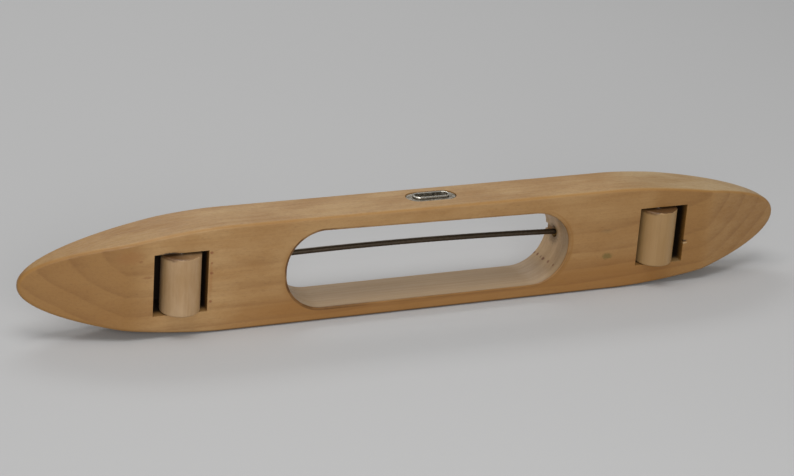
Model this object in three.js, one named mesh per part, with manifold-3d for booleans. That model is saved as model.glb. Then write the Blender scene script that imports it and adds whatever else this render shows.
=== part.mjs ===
// Weaving shuttle: a wooden boat with two rollers, a swinging spindle for the quill and a thread eyelet.
// Millimetres. X runs along the shuttle and Z across its width. The bottom face, where the rollers stand
// out, looks to -Y and the flat top face looks to +Y. The shuttle stands on one long side wall, at Z = 0.

import * as THREE from 'three';
import { mergeVertices } from 'three/addons/utils/BufferGeometryUtils.js';
import Module from 'manifold-3d';

// Driving dimensions

const BODY_LENGTH = 382;
const BODY_WIDTH = 51;
const BODY_THICKNESS = 24.5;
const EDGE_RADIUS = 1.6;            // long edges of the body
const EDGE_STEPS = 3;
const EDGE_SHARE = 0.4;             // near the tips the edges round off at most this share of the thickness

const NOSE_LENGTH = 92;             // from where the flat side walls end to the tip
const NOSE_POWER = 1.49;
const NOSE_BLUNTNESS = 0.455;       // 0.5 is a round nose, less is blunter
const BOTTOM_SWEEP_LENGTH = 46;     // the bottom face rises towards each tip over this length
const BOTTOM_SWEEP_RISE = 13.6;
const TOP_SWEEP_LENGTH = 67;        // the top face falls towards each tip over this length
const TOP_SWEEP_DROP = 7.8;
const SWEEP_POWER = 1.1;

const OPENING_LENGTH = 142;         // hole for the quill, right through the body
const OPENING_WIDTH = 38.2;
const OPENING_CORNER_RADIUS = 18.5;
const OPENING_TAPER = 2.2;          // at its right end the upper side comes this much nearer the middle
const OPENING_EASE = 0.6;           // bevel round both rims

const POCKET_SPACING = 241.8;       // between the centres of the two roller pockets
const POCKET_LENGTH = 25.2;
const POCKET_WIDTH = 29.2;
const POCKET_DEPTH = 18;

const ROLLER_DIAMETER = 18.2;
const ROLLER_LENGTH = 27.7;
const ROLLER_EDGE = 0.7;            // eased rim of each end
const ROLLER_STANDOUT = 5;          // how far a roller stands out of the bottom face
const ROLLER_INSET = 1;             // each roller sits this much nearer the middle than its pocket does
const ROLLER_END_GAP = 0.35;        // between a roller's lower end and the pocket wall it rests on
const AXLE_DIAMETER = 3.6;
const AXLE_GRIP = 5.2;              // how deep each axle reaches into the upper pocket wall
const AXLE_SINK = 0.8;              // driven end below the surface of the lower side wall

const SPINDLE_DIAMETER = 2.6;
const SPINDLE_LEFT_DEPTH = 20;      // below the bottom face, at the pivot pin
const SPINDLE_RIGHT_DEPTH = 15.7;   // below the bottom face, at the catch
const SPINDLE_OFFSET = 0.5;         // above the middle of the width
const SPINDLE_BOW = 1.4;            // the wire is sprung this much towards the upper wall
const SPINDLE_TAIL = 0.8;           // the tip reaches this far into the groove of the catch
const SPINDLE_EYE_DIAMETER = 6.4;
const SPINDLE_EYE_HEIGHT = 2.6;

const PIVOT_SETBACK = 7.5;          // from the opening's left end to the pivot pin
const PIVOT_DIAMETER = 2;
const PIVOT_GRIP = 7;               // how deep the pin reaches past the spindle's eye
const PIVOT_SINK = 0.8;
const PIVOT_SLOT_GAP = 0.6;         // round the eye, above, below and behind it

const CATCH_DIAMETER = 5;           // brass plug in the right end wall
const CATCH_LENGTH = 8;
const CATCH_PLAY = 0.25;            // between the spindle and the sides of the groove
const CATCH_GROOVE_DEPTH = 1.1;     // across the plug's front and on through the wood to the top face

const EYELET_X = 3.6;               // centre of the eyelet along the shuttle
const EYELET_RISE = 1.3;            // from the middle of the thickness towards the top face
const EYELET_SLOT_LENGTH = 16.4;
const EYELET_SLOT_WIDTH = 4.5;
const EYELET_WALL = 0.5;
const EYELET_LIP_WIDTH = 0.5;       // rolled lip beyond the barrel's inner wall
const EYELET_LIP_HEIGHT = 0.9;
const WASHER_LENGTH = 24.4;
const WASHER_WIDTH = 10.8;
const WASHER_THICKNESS = 0.8;
const WASHER_SINK = 0.3;            // washer's face below the surface of the wall

const SEAT_GAP = 0.3;               // between pieces that are fitted to each other
const RUNNING_GAP = 0.25;           // round a shaft that something turns on
const CUT_OVERRUN = 2;              // how far a cutter passes beyond a surface

// Fineness of the curved surfaces

const NOSE_STEPS = 20;              // from the flat side walls to each tip
const OPENING_ARC_STEPS = 12;       // a quarter turn of the opening's corners
const EYELET_ARC_STEPS = 8;         // a quarter turn of the eyelet's round ends
const HOLE_SIDES = 24;
const ROLLER_SIDES = 40;
const PIN_SIDES = 20;
const EYE_SIDES = 28;
const WIRE_ARC_STEPS = 12;          // half a turn of the spindle's section
const WIRE_STEPS = 16;              // along the spindle
const WELD_DISTANCE = 1e-5;         // corners nearer than this are one corner
const LEVEL_TOLERANCE = 1e-9;

// Places that follow from the sizes

const HALF_LENGTH = BODY_LENGTH / 2;
const MID_Z = BODY_WIDTH / 2;
const BOTTOM_Y = -(BODY_THICKNESS - ROLLER_STANDOUT) / 2;
const TOP_Y = BOTTOM_Y + BODY_THICKNESS;
const NOSE_START = HALF_LENGTH - NOSE_LENGTH;
const OPENING_END = OPENING_LENGTH / 2;
const OPENING_RADIUS = Math.min(OPENING_CORNER_RADIUS, OPENING_WIDTH / 2);
const ROLLER_RADIUS = ROLLER_DIAMETER / 2;
const ROLLER_X = POCKET_SPACING / 2 - ROLLER_INSET;
const ROLLER_Y = BOTTOM_Y - ROLLER_STANDOUT + ROLLER_RADIUS;
const POCKET_LOW_Z = MID_Z - POCKET_WIDTH / 2;
const POCKET_HIGH_Z = MID_Z + POCKET_WIDTH / 2;
const SPINDLE_RADIUS = SPINDLE_DIAMETER / 2;
const SPINDLE_Z = MID_Z + SPINDLE_OFFSET;
const PIVOT_X = -OPENING_END - PIVOT_SETBACK;
const PIVOT_Y = BOTTOM_Y + SPINDLE_LEFT_DEPTH;
const CATCH_Y = BOTTOM_Y + SPINDLE_RIGHT_DEPTH;
const EYE_RADIUS = SPINDLE_EYE_DIAMETER / 2;
const SPINDLE_REACH = OPENING_END + SPINDLE_TAIL - PIVOT_X;
const GROOVE_HALF_WIDTH = SPINDLE_RADIUS + CATCH_PLAY;
const CATCH_FACE_X = OPENING_END + SEAT_GAP;
const GROOVE_FLOOR_X = OPENING_END + CATCH_GROOVE_DEPTH;
const EYELET_Y = (BOTTOM_Y + TOP_Y) / 2 + EYELET_RISE;
const EYELET_SHARE = (EYELET_X + OPENING_END) / OPENING_LENGTH;
const OPENING_TOP_Z = MID_Z + OPENING_WIDTH / 2 - OPENING_TAPER * EYELET_SHARE;
const BARREL_LENGTH = EYELET_SLOT_LENGTH + 2 * EYELET_WALL;
const BARREL_WIDTH = EYELET_SLOT_WIDTH + 2 * EYELET_WALL;
const WASHER_FACE_OUTSIDE = BODY_WIDTH - WASHER_SINK;
const WASHER_FACE_INSIDE = OPENING_TOP_Z + WASHER_SINK;

// Solids and meshes

const wasm = await Module();
wasm.setup();

/** Closed three.js geometry as a solid that can be joined and cut. */
function solid(geometry) {
  const bare = geometry.clone();
  bare.deleteAttribute('normal');
  bare.deleteAttribute('uv');
  const merged = mergeVertices(bare, WELD_DISTANCE);
  return new wasm.Manifold(new wasm.Mesh({
    numProp: 3,
    vertProperties: new Float32Array(merged.attributes.position.array),
    triVerts: new Uint32Array(merged.index.array),
  }));
}

/** Solid back as a flat-shaded three.js geometry. */
function geometryOf(manifold) {
  const mesh = manifold.getMesh();
  const indexed = new THREE.BufferGeometry();
  indexed.setAttribute('position', new THREE.BufferAttribute(mesh.vertProperties, 3));
  indexed.setIndex(new THREE.BufferAttribute(mesh.triVerts, 1));
  const geometry = indexed.toNonIndexed();
  geometry.computeVertexNormals();
  return geometry;
}

/** Box between two corners. */
function boxBetween(low, high) {
  const size = high.map((value, axis) => value - low[axis]);
  const geometry = new THREE.BoxGeometry(...size);
  return geometry.translate(...low.map((value, axis) => value + size[axis] / 2));
}

/** Round bar along Z. */
function barAlongZ(x, y, radius, lowZ, highZ) {
  const geometry = new THREE.CylinderGeometry(radius, radius, highZ - lowZ, HOLE_SIDES);
  geometry.rotateX(Math.PI / 2);
  return geometry.translate(x, y, (lowZ + highZ) / 2);
}

/** Shape turned about Z from a profile of [radius, z] corners that closes on itself or on the axis. */
function turnedAlongZ(profile, sides) {
  const geometry = new THREE.LatheGeometry(profile.map(([r, z]) => new THREE.Vector2(r, z)), sides);
  return geometry.rotateX(Math.PI / 2);
}

/** Upright prism of an outline in X and Y, from one height to another. */
function prism(points, lowZ, highZ) {
  const shape = new THREE.Shape(points);
  const geometry = new THREE.ExtrudeGeometry(shape, { depth: highZ - lowZ, bevelEnabled: false });
  return geometry.translate(0, 0, lowZ);
}

/**
 * Closed solid through rings of equal count, from the lowest Y to the highest. Each ring is convex,
 * starts at its right-hand tip and is mirrored point for point about the middle of the width.
 */
function stackRings(rings) {
  const count = rings[0].length;
  const positions = rings.flat(2);
  const indices = [];
  for (let level = 0; level < rings.length - 1; level += 1) {
    for (let i = 0; i < count; i += 1) {
      const j = (i + 1) % count;
      const near = level * count;
      const far = near + count;
      indices.push(near + i, far + j, near + j);
      indices.push(near + i, far + i, far + j);
    }
  }
  const last = (rings.length - 1) * count;
  for (let i = 0; i < count / 2; i += 1) {
    const [p, q, r, s] = [i, i + 1, (count - i - 1) % count, (count - i) % count];
    if (r !== q) {
      indices.push(p, q, r);
      indices.push(last + p, last + r, last + q);
    }
    if (s !== p) {
      indices.push(p, r, s);
      indices.push(last + p, last + s, last + r);
    }
  }
  const geometry = new THREE.BufferGeometry();
  geometry.setAttribute('position', new THREE.Float32BufferAttribute(positions, 3));
  geometry.setIndex(indices);
  return geometry;
}

// The wooden body

/** Half the body's width at a distance from the middle of its length. */
function halfWidthAt(distance) {
  const along = Math.max(0, (distance - NOSE_START) / NOSE_LENGTH);
  return BODY_WIDTH / 2 * Math.max(0, 1 - along ** NOSE_POWER) ** NOSE_BLUNTNESS;
}

/** Bottom and top faces at a distance from the middle of its length. */
function facesAt(distance) {
  const share = (length) => Math.max(0, (distance - HALF_LENGTH + length) / length) ** SWEEP_POWER;
  return [
    BOTTOM_Y + BOTTOM_SWEEP_RISE * share(BOTTOM_SWEEP_LENGTH),
    TOP_Y - TOP_SWEEP_DROP * share(TOP_SWEEP_LENGTH),
  ];
}

/** Rounding of the long edges at a distance from the middle of the length. */
function edgeRadiusAt(distance) {
  const [bottom, top] = facesAt(distance);
  return Math.min(EDGE_RADIUS, EDGE_SHARE * (top - bottom));
}

/** Plan outline from the right tip by the upper wall: [x, z from the middle, normal x, normal z]. */
function planOutline() {
  const quarter = [];
  for (let i = 0; i <= NOSE_STEPS; i += 1) {
    const x = NOSE_START + NOSE_LENGTH * Math.cos((i / NOSE_STEPS) * Math.PI / 2);
    quarter.push([x, i === 0 ? 0 : halfWidthAt(x)]);
  }
  const upper = [...quarter, ...quarter.slice().reverse().map(([x, z]) => [-x, z])];
  const lower = upper.slice(1, -1).reverse().map(([x, z]) => [x, -z]);
  const outline = [...upper, ...lower];
  return outline.map(([x, z], i) => {
    const [beforeX, beforeZ] = outline[(i + outline.length - 1) % outline.length];
    const [afterX, afterZ] = outline[(i + 1) % outline.length];
    const length = Math.hypot(afterX - beforeX, afterZ - beforeZ);
    return [x, z, (afterZ - beforeZ) / length, -(afterX - beforeX) / length];
  });
}

/** One ring of the body's skin: turn runs from 0 at a face's rim to 1 at the side wall. */
function bodyRing(turn, onTop) {
  const angle = turn * Math.PI / 2;
  return planOutline().map(([x, z, normalX, normalZ]) => {
    const radius = edgeRadiusAt(Math.abs(x));
    const inset = radius * (1 - Math.sin(angle));
    const lift = radius * (1 - Math.cos(angle));
    const insetX = x - inset * normalX;
    const [bottom, top] = facesAt(Math.abs(insetX));
    return [insetX, onTop ? top - lift : bottom + lift, MID_Z + z - inset * normalZ];
  });
}

/** The boat without its holes. */
function bodyBlank() {
  const turns = Array.from({ length: EDGE_STEPS + 1 }, (_, step) => step / EDGE_STEPS);
  const bottom = turns.map((turn) => bodyRing(turn, false));
  const top = turns.slice().reverse().map((turn) => bodyRing(turn, true));
  return stackRings([...bottom, ...top]);
}

/** Outline of the opening, grown all round, at one height of the body's thickness. */
function openingRing(grown, y) {
  const radius = OPENING_RADIUS + grown;
  const cornerX = OPENING_END - OPENING_RADIUS;
  const cornerZ = OPENING_WIDTH / 2 - OPENING_RADIUS;
  const upper = [];
  for (const side of [1, -1]) {
    for (let step = 0; step <= OPENING_ARC_STEPS; step += 1) {
      const angle = (step / OPENING_ARC_STEPS + (side === 1 ? 0 : 1)) * Math.PI / 2;
      const z = cornerZ + radius * Math.sin(angle);
      if (z > LEVEL_TOLERANCE) upper.push([side * cornerX + radius * Math.cos(angle), z]);
    }
  }
  const lower = upper.slice().reverse().map(([x, z]) => [x, -z]);
  const tip = OPENING_END + grown;
  const tapered = upper.map(([x, z]) => {
    const share = (x + OPENING_END) / OPENING_LENGTH;
    return [x, z * (1 - share * OPENING_TAPER / (OPENING_WIDTH / 2))];
  });
  return [[tip, 0], ...tapered, [-tip, 0], ...lower].map(([x, z]) => [x, y, MID_Z + z]);
}

/** Opening for the quill, with both rims eased. */
function openingCutter() {
  const beyond = OPENING_EASE + CUT_OVERRUN;
  return stackRings([
    openingRing(beyond, BOTTOM_Y - CUT_OVERRUN),
    openingRing(0, BOTTOM_Y + OPENING_EASE),
    openingRing(0, TOP_Y - OPENING_EASE),
    openingRing(beyond, TOP_Y + CUT_OVERRUN),
  ]);
}

/** Straight-sided pocket for a roller, open to the bottom face. */
function pocketCutter(centreX) {
  return boxBetween(
    [centreX - POCKET_LENGTH / 2, BOTTOM_Y - CUT_OVERRUN, POCKET_LOW_Z],
    [centreX + POCKET_LENGTH / 2, BOTTOM_Y + POCKET_DEPTH, POCKET_HIGH_Z],
  );
}

/** Hole for an axle, from the lower side wall through the pocket into the upper pocket wall. */
function axleHole(x) {
  const tip = POCKET_HIGH_Z + AXLE_GRIP + SEAT_GAP;
  return barAlongZ(x, ROLLER_Y, AXLE_DIAMETER / 2 + SEAT_GAP, -CUT_OVERRUN, tip);
}

/** Hole for the pivot pin, from the lower side wall across the slot and into the wood above it. */
function pivotHole() {
  const tip = SPINDLE_Z + SPINDLE_EYE_HEIGHT / 2 + PIVOT_GRIP + SEAT_GAP;
  return barAlongZ(PIVOT_X, PIVOT_Y, PIVOT_DIAMETER / 2 + SEAT_GAP, -CUT_OVERRUN, tip);
}

/** Slot in the left end wall that the spindle's eye turns in, open to the top face. */
function pivotSlot() {
  const half = SPINDLE_EYE_HEIGHT / 2 + PIVOT_SLOT_GAP;
  const back = EYE_RADIUS + PIVOT_SLOT_GAP;
  return boxBetween(
    [PIVOT_X - back, PIVOT_Y - back, SPINDLE_Z - half],
    [-OPENING_END + OPENING_RADIUS, TOP_Y + CUT_OVERRUN, SPINDLE_Z + half],
  );
}

/** Hole in the right end wall that the catch is pressed into. */
function catchHole() {
  const start = OPENING_END - OPENING_RADIUS;
  const bottom = CATCH_FACE_X + CATCH_LENGTH + SEAT_GAP;
  const bar = pinGeometry(CATCH_DIAMETER + 2 * SEAT_GAP, bottom - start);
  return bar.rotateY(Math.PI / 2).translate(start, CATCH_Y, SPINDLE_Z);
}

/** Groove for the spindle's tip, from its rest place out to the top face. */
function catchGroove() {
  return boxBetween(
    [OPENING_END - OPENING_RADIUS, CATCH_Y - GROOVE_HALF_WIDTH, SPINDLE_Z - GROOVE_HALF_WIDTH],
    [GROOVE_FLOOR_X, TOP_Y + CUT_OVERRUN, SPINDLE_Z + GROOVE_HALF_WIDTH],
  );
}

/** Oblong about the eyelet's centre: two half rounds and two straight sides, drawn anticlockwise. */
function eyeletOutline(length, width) {
  const radius = width / 2;
  const points = [];
  for (const side of [1, -1]) {
    for (let step = 0; step <= 2 * EYELET_ARC_STEPS; step += 1) {
      const angle = (step / EYELET_ARC_STEPS - side) * Math.PI / 2;
      points.push(new THREE.Vector2(
        EYELET_X + side * (length / 2 - radius) + radius * Math.cos(angle),
        EYELET_Y + radius * Math.sin(angle),
      ));
    }
  }
  return points;
}

/** Slot through the upper wall with a shallow seat for a washer on each side. */
function eyeletCutters() {
  const slot = prism(
    eyeletOutline(BARREL_LENGTH + 2 * SEAT_GAP, BARREL_WIDTH + 2 * SEAT_GAP),
    OPENING_TOP_Z - CUT_OVERRUN, BODY_WIDTH + CUT_OVERRUN,
  );
  const seat = eyeletOutline(WASHER_LENGTH + 2 * SEAT_GAP, WASHER_WIDTH + 2 * SEAT_GAP);
  const depth = WASHER_THICKNESS + SEAT_GAP;
  const outer = prism(seat, WASHER_FACE_OUTSIDE - depth, BODY_WIDTH + CUT_OVERRUN);
  const inner = prism(seat, OPENING_TOP_Z - CUT_OVERRUN, WASHER_FACE_INSIDE + depth);
  return [slot, outer, inner];
}

/** The boat with its opening, pockets, holes, slot, groove and eyelet seat. */
function bodyGeometry() {
  const cutters = [
    openingCutter(),
    pocketCutter(-POCKET_SPACING / 2),
    pocketCutter(POCKET_SPACING / 2),
    axleHole(-ROLLER_X),
    axleHole(ROLLER_X),
    pivotHole(),
    pivotSlot(),
    catchHole(),
    catchGroove(),
    ...eyeletCutters(),
  ];
  return geometryOf(cutters.reduce((left, cutter) => left.subtract(solid(cutter)), solid(bodyBlank())));
}

// Rollers and axles, each built about its own axis

/** Wooden roller with a bore and eased rims, standing on Z = 0. */
function rollerGeometry() {
  const bore = AXLE_DIAMETER / 2 + RUNNING_GAP;
  const ease = ROLLER_EDGE * (1 - Math.SQRT1_2);
  const profile = [
    [bore, 0],
    [ROLLER_RADIUS - ROLLER_EDGE, 0],
    [ROLLER_RADIUS - ease, ease],
    [ROLLER_RADIUS, ROLLER_EDGE],
    [ROLLER_RADIUS, ROLLER_LENGTH - ROLLER_EDGE],
    [ROLLER_RADIUS - ease, ROLLER_LENGTH - ease],
    [ROLLER_RADIUS - ROLLER_EDGE, ROLLER_LENGTH],
    [bore, ROLLER_LENGTH],
    [bore, 0],
  ];
  return turnedAlongZ(profile, ROLLER_SIDES);
}

/** Steel pin with a small chamfer at each end, from Z = 0 up. */
function pinGeometry(diameter, length) {
  const radius = diameter / 2;
  const chamfer = diameter / 8;
  const profile = [
    [0, 0],
    [radius - chamfer, 0],
    [radius, chamfer],
    [radius, length - chamfer],
    [radius - chamfer, length],
    [0, length],
  ];
  return turnedAlongZ(profile, PIN_SIDES);
}

// Spindle, built about its pivot

/** Bowed wire with a flat eye at the pivot. */
function spindleGeometry() {
  const drift = (CATCH_Y - PIVOT_Y) / SPINDLE_REACH;
  const pointAt = (share) => new THREE.Vector3(
    SPINDLE_REACH * share,
    SPINDLE_REACH * share * drift,
    SPINDLE_BOW * (1 - (2 * share - 1) ** 2),
  );
  const bore = PIVOT_DIAMETER / 2 + RUNNING_GAP;
  const start = (bore + EYE_RADIUS) / 2 / SPINDLE_REACH;
  const stations = [0, 1, 2, 3, 4, 5, 6].map((i) => start + (1 - start) * i / 6);
  const section = new THREE.Shape().absarc(0, 0, SPINDLE_RADIUS, 0, 2 * Math.PI);
  const wire = new THREE.ExtrudeGeometry(section, {
    steps: WIRE_STEPS,
    curveSegments: WIRE_ARC_STEPS,
    extrudePath: new THREE.CatmullRomCurve3(stations.map(pointAt)),
  });
  const half = SPINDLE_EYE_HEIGHT / 2;
  const corners = [[bore, -half], [EYE_RADIUS, -half], [EYE_RADIUS, half], [bore, half], [bore, -half]];
  return geometryOf(solid(wire).add(solid(turnedAlongZ(corners, EYE_SIDES))));
}

// Catch in the right end wall

/** Brass plug with a groove across its front that the spindle's tip rests in. */
function catchGeometry() {
  const plug = pinGeometry(CATCH_DIAMETER, CATCH_LENGTH).rotateY(Math.PI / 2);
  plug.translate(CATCH_FACE_X, CATCH_Y, SPINDLE_Z);
  return geometryOf(solid(plug).subtract(solid(catchGroove())));
}

// Eyelet in the upper wall

/** Oblong ring between two outlines. */
function oblongRing(length, width, holeLength, holeWidth, lowZ, highZ) {
  const shape = new THREE.Shape(eyeletOutline(length, width));
  shape.holes.push(new THREE.Path(eyeletOutline(holeLength, holeWidth).reverse()));
  const geometry = new THREE.ExtrudeGeometry(shape, { depth: highZ - lowZ, bevelEnabled: false });
  return geometry.translate(0, 0, lowZ);
}

/** Nickel barrel through the wall, its ends rolled out over the washers. */
function eyeletGeometry() {
  const grow = 2 * (EYELET_WALL + EYELET_LIP_WIDTH);
  const lowLip = WASHER_FACE_INSIDE - SEAT_GAP;
  const highLip = WASHER_FACE_OUTSIDE + SEAT_GAP;
  const ring = (length, width, lowZ, highZ) => solid(
    oblongRing(length, width, EYELET_SLOT_LENGTH, EYELET_SLOT_WIDTH, lowZ, highZ),
  );
  const inLip = EYELET_LIP_HEIGHT / 2;
  const barrel = ring(BARREL_LENGTH, BARREL_WIDTH, lowLip - inLip, highLip + inLip);
  const lipLength = EYELET_SLOT_LENGTH + grow;
  const lipWidth = EYELET_SLOT_WIDTH + grow;
  const outerLip = ring(lipLength, lipWidth, highLip, highLip + EYELET_LIP_HEIGHT);
  const innerLip = ring(lipLength, lipWidth, lowLip - EYELET_LIP_HEIGHT, lowLip);
  return geometryOf(barrel.add(outerLip).add(innerLip));
}

/** Washer under a rolled lip. */
function washerGeometry(lowZ) {
  const holeLength = BARREL_LENGTH + 2 * SEAT_GAP;
  const holeWidth = BARREL_WIDTH + 2 * SEAT_GAP;
  return oblongRing(WASHER_LENGTH, WASHER_WIDTH, holeLength, holeWidth, lowZ, lowZ + WASHER_THICKNESS);
}

// Materials and assembly

/** Plain material of one finish. */
function finish(color, roughness, metalness) {
  return new THREE.MeshStandardMaterial({ color, roughness, metalness });
}

const honeyWood = finish(0xb98f5f, 0.55, 0);
const paleWood = finish(0xc7a578, 0.5, 0);
const darkSteel = finish(0x3d3a36, 0.35, 1);
const brightSteel = finish(0xa8a8a6, 0.3, 1);
const brass = finish(0xa8803a, 0.35, 1);
const nickel = finish(0xcfcfca, 0.15, 1);
const dullSteel = finish(0x8b8880, 0.6, 1);

/** Named mesh of one piece at its place. */
function piece(name, geometry, material, x = 0, y = 0, z = 0) {
  const mesh = new THREE.Mesh(geometry, material);
  mesh.name = name;
  mesh.position.set(x, y, z);
  return mesh;
}

/** Height of the lower side wall at a place along the shuttle. */
function lowerWallAt(x) {
  return MID_Z - halfWidthAt(Math.abs(x));
}

/** Roller and the axle that it turns on. */
function rollerSet(side, centreX) {
  const set = new THREE.Group();
  set.position.set(centreX, ROLLER_Y, 0);
  const axleStart = lowerWallAt(centreX) + AXLE_SINK;
  const axle = pinGeometry(AXLE_DIAMETER, POCKET_HIGH_Z + AXLE_GRIP - axleStart);
  set.add(piece(`roller_${side}`, rollerGeometry(), paleWood, 0, 0, POCKET_LOW_Z + ROLLER_END_GAP));
  set.add(piece(`roller_axle_${side}`, axle, brightSteel, 0, 0, axleStart));
  return set;
}

/** Spindle and the pin that it swings on. */
function spindleSet() {
  const set = new THREE.Group();
  set.position.set(PIVOT_X, PIVOT_Y, 0);
  const pinStart = lowerWallAt(PIVOT_X) + PIVOT_SINK;
  const pin = pinGeometry(PIVOT_DIAMETER, SPINDLE_Z + SPINDLE_EYE_HEIGHT / 2 + PIVOT_GRIP - pinStart);
  set.add(piece('spindle', spindleGeometry(), darkSteel, 0, 0, SPINDLE_Z));
  set.add(piece('spindle_pivot_pin', pin, brightSteel, 0, 0, pinStart));
  return set;
}

const shuttle = new THREE.Group();
shuttle.add(piece('body', bodyGeometry(), honeyWood));
shuttle.add(rollerSet('left', -ROLLER_X));
shuttle.add(rollerSet('right', ROLLER_X));
shuttle.add(spindleSet());
shuttle.add(piece('spindle_catch', catchGeometry(), brass));
shuttle.add(piece('eyelet', eyeletGeometry(), nickel));
const outerWasher = washerGeometry(WASHER_FACE_OUTSIDE - WASHER_THICKNESS);
shuttle.add(piece('eyelet_washer_outer', outerWasher, dullSteel));
shuttle.add(piece('eyelet_washer_inner', washerGeometry(WASHER_FACE_INSIDE), dullSteel));

export default shuttle;
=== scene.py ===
"""A wooden weaving shuttle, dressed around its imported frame.

The boat, its rollers, the spindle with its catch and the thread eyelet are each built by a class that
holds the sizes of its sub-assembly. Lengths are in metres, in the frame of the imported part: X runs
along the shuttle, the bottom face looks to -Y and Z runs up across the width.
"""

import logging
import math
from contextlib import contextmanager
from dataclasses import dataclass
from enum import Enum
from typing import Callable, Iterator, Sequence, Union

import bmesh
import bpy
from mathutils import Matrix, Vector


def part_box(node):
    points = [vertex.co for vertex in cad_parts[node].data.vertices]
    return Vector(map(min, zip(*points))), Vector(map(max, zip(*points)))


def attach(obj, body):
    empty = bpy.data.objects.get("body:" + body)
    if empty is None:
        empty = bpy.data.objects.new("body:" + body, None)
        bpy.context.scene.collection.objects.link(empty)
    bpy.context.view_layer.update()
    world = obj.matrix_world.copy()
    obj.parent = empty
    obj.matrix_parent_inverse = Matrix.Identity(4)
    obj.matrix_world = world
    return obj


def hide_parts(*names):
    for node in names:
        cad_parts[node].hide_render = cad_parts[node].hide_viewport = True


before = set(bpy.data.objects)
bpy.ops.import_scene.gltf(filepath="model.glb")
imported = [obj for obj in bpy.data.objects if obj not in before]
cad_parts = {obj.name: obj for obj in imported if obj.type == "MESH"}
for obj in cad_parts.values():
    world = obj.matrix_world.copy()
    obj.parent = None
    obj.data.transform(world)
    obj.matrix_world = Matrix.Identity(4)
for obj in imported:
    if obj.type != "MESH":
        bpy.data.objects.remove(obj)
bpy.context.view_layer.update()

log = logging.getLogger("shuttle")

MM = 0.001
PHOTO_WIDTH = 794
SENSOR_WIDTH = 36.0
TINY = 1e-6
LEVEL = 0.01 * MM
NEARLY_ALONG = 0.9
SMOOTH_ANGLE = math.radians(32)
SHARP_ANGLE = math.radians(40)
VALUE_OPERATIONS = ("LENGTH", "DOT_PRODUCT")

Colour = tuple[float, float, float]
Piece = bpy.types.Object
Material = bpy.types.Material
Tree = bpy.types.NodeTree
Node = bpy.types.Node
Socket = bpy.types.NodeSocket
Value = Union[float, int, Socket]
Sockets = bpy.types.bpy_prop_collection
Edge = bmesh.types.BMEdge
Face = bmesh.types.BMFace
PartTest = Callable[[Union[Edge, Face]], bool]


class Side(Enum):
    """An end of the shuttle, as the sign of its X."""

    LEFT = -1
    RIGHT = 1


class Wall(Enum):
    """A side of the upper wall, as the way that it faces along Z."""

    INNER = -1
    OUTER = 1


class Part(Enum):
    """A kind of mesh part, with the name of its list in a bmesh."""

    EDGE = "edges"
    FACE = "faces"


# Modelling helpers


def deselect_everything() -> None:
    """Leaves nothing selected, because an operator acts on all that is selected."""
    for item in bpy.context.selected_objects:
        item.select_set(False)


def activate(piece: Piece) -> None:
    """Makes one object the only selected one and the active one.

    Args:
        piece: The object to work on.
    """
    deselect_everything()
    piece.select_set(True)
    bpy.context.view_layer.objects.active = piece


def adopt(name: str) -> Piece:
    """Names the primitive that was just added and bakes its place into its mesh.

    Args:
        name: The new name of the object and its mesh.

    Returns:
        The object, which now sits at the origin.
    """
    piece = bpy.context.active_object
    piece.name = name
    piece.data.name = name
    activate(piece)
    bpy.ops.object.transform_apply(location=True, rotation=True, scale=True)
    return piece


@contextmanager
def editing(piece: Piece) -> Iterator[None]:
    """Opens a mesh in edit mode and closes it again.

    Args:
        piece: The mesh object to edit.
    """
    activate(piece)
    bpy.ops.object.mode_set(mode="EDIT")
    try:
        yield
    finally:
        bpy.ops.object.mode_set(mode="OBJECT")


def pick(piece: Piece, kind: Part, test: PartTest) -> None:
    """Selects, in edit mode, only the edges or faces that pass a test.

    Args:
        piece: The mesh object in edit mode.
        kind: Whether edges or faces are picked.
        test: Says whether a part is wanted.
    """
    bpy.ops.mesh.select_mode(type=kind.name)
    bpy.ops.mesh.select_all(action="DESELECT")
    work = bmesh.from_edit_mesh(piece.data)
    work.normal_update()
    for part in [part for part in getattr(work, kind.value) if test(part)]:
        part.select_set(True)
    bmesh.update_edit_mesh(piece.data)


def round_off(piece: Piece, test: PartTest, radius: float, segments: int) -> None:
    """Rounds the edges of a mesh that pass a test.

    Args:
        piece: The mesh object.
        test: Says whether an edge is rounded.
        radius: Radius of the rounding.
        segments: Faces across the rounding.
    """
    with editing(piece):
        pick(piece, Part.EDGE, test)
        bpy.ops.mesh.bevel(
            offset=radius, offset_type="OFFSET", segments=segments, profile=0.5, affect="EDGES",
            clamp_overlap=True,
        )


def point_outwards(piece: Piece) -> None:
    """Merges doubled corners and turns all faces outwards.

    Args:
        piece: The closed mesh object.
    """
    with editing(piece):
        bpy.ops.mesh.select_all(action="SELECT")
        bpy.ops.mesh.remove_doubles(threshold=TINY)
        bpy.ops.mesh.normals_make_consistent(inside=False)


def cut(piece: Piece, cutter: Piece) -> None:
    """Cuts one closed mesh out of another and removes the cutter."""
    join_by(piece, cutter, "DIFFERENCE")


def fuse(piece: Piece, addition: Piece) -> None:
    """Joins one closed mesh to another and removes the second object."""
    join_by(piece, addition, "UNION")


def join_by(piece: Piece, other: Piece, operation: str) -> None:
    """Applies a boolean of two closed meshes and removes the second object.

    Args:
        piece: The mesh object that is changed.
        other: The mesh object that changes it.
        operation: DIFFERENCE or UNION.
    """
    activate(piece)
    modifier = piece.modifiers.new(operation.lower(), "BOOLEAN")
    modifier.operation = operation
    modifier.solver = "EXACT"
    modifier.object = other
    bpy.ops.object.modifier_apply(modifier=modifier.name)
    bpy.data.objects.remove(other, do_unlink=True)


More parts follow.
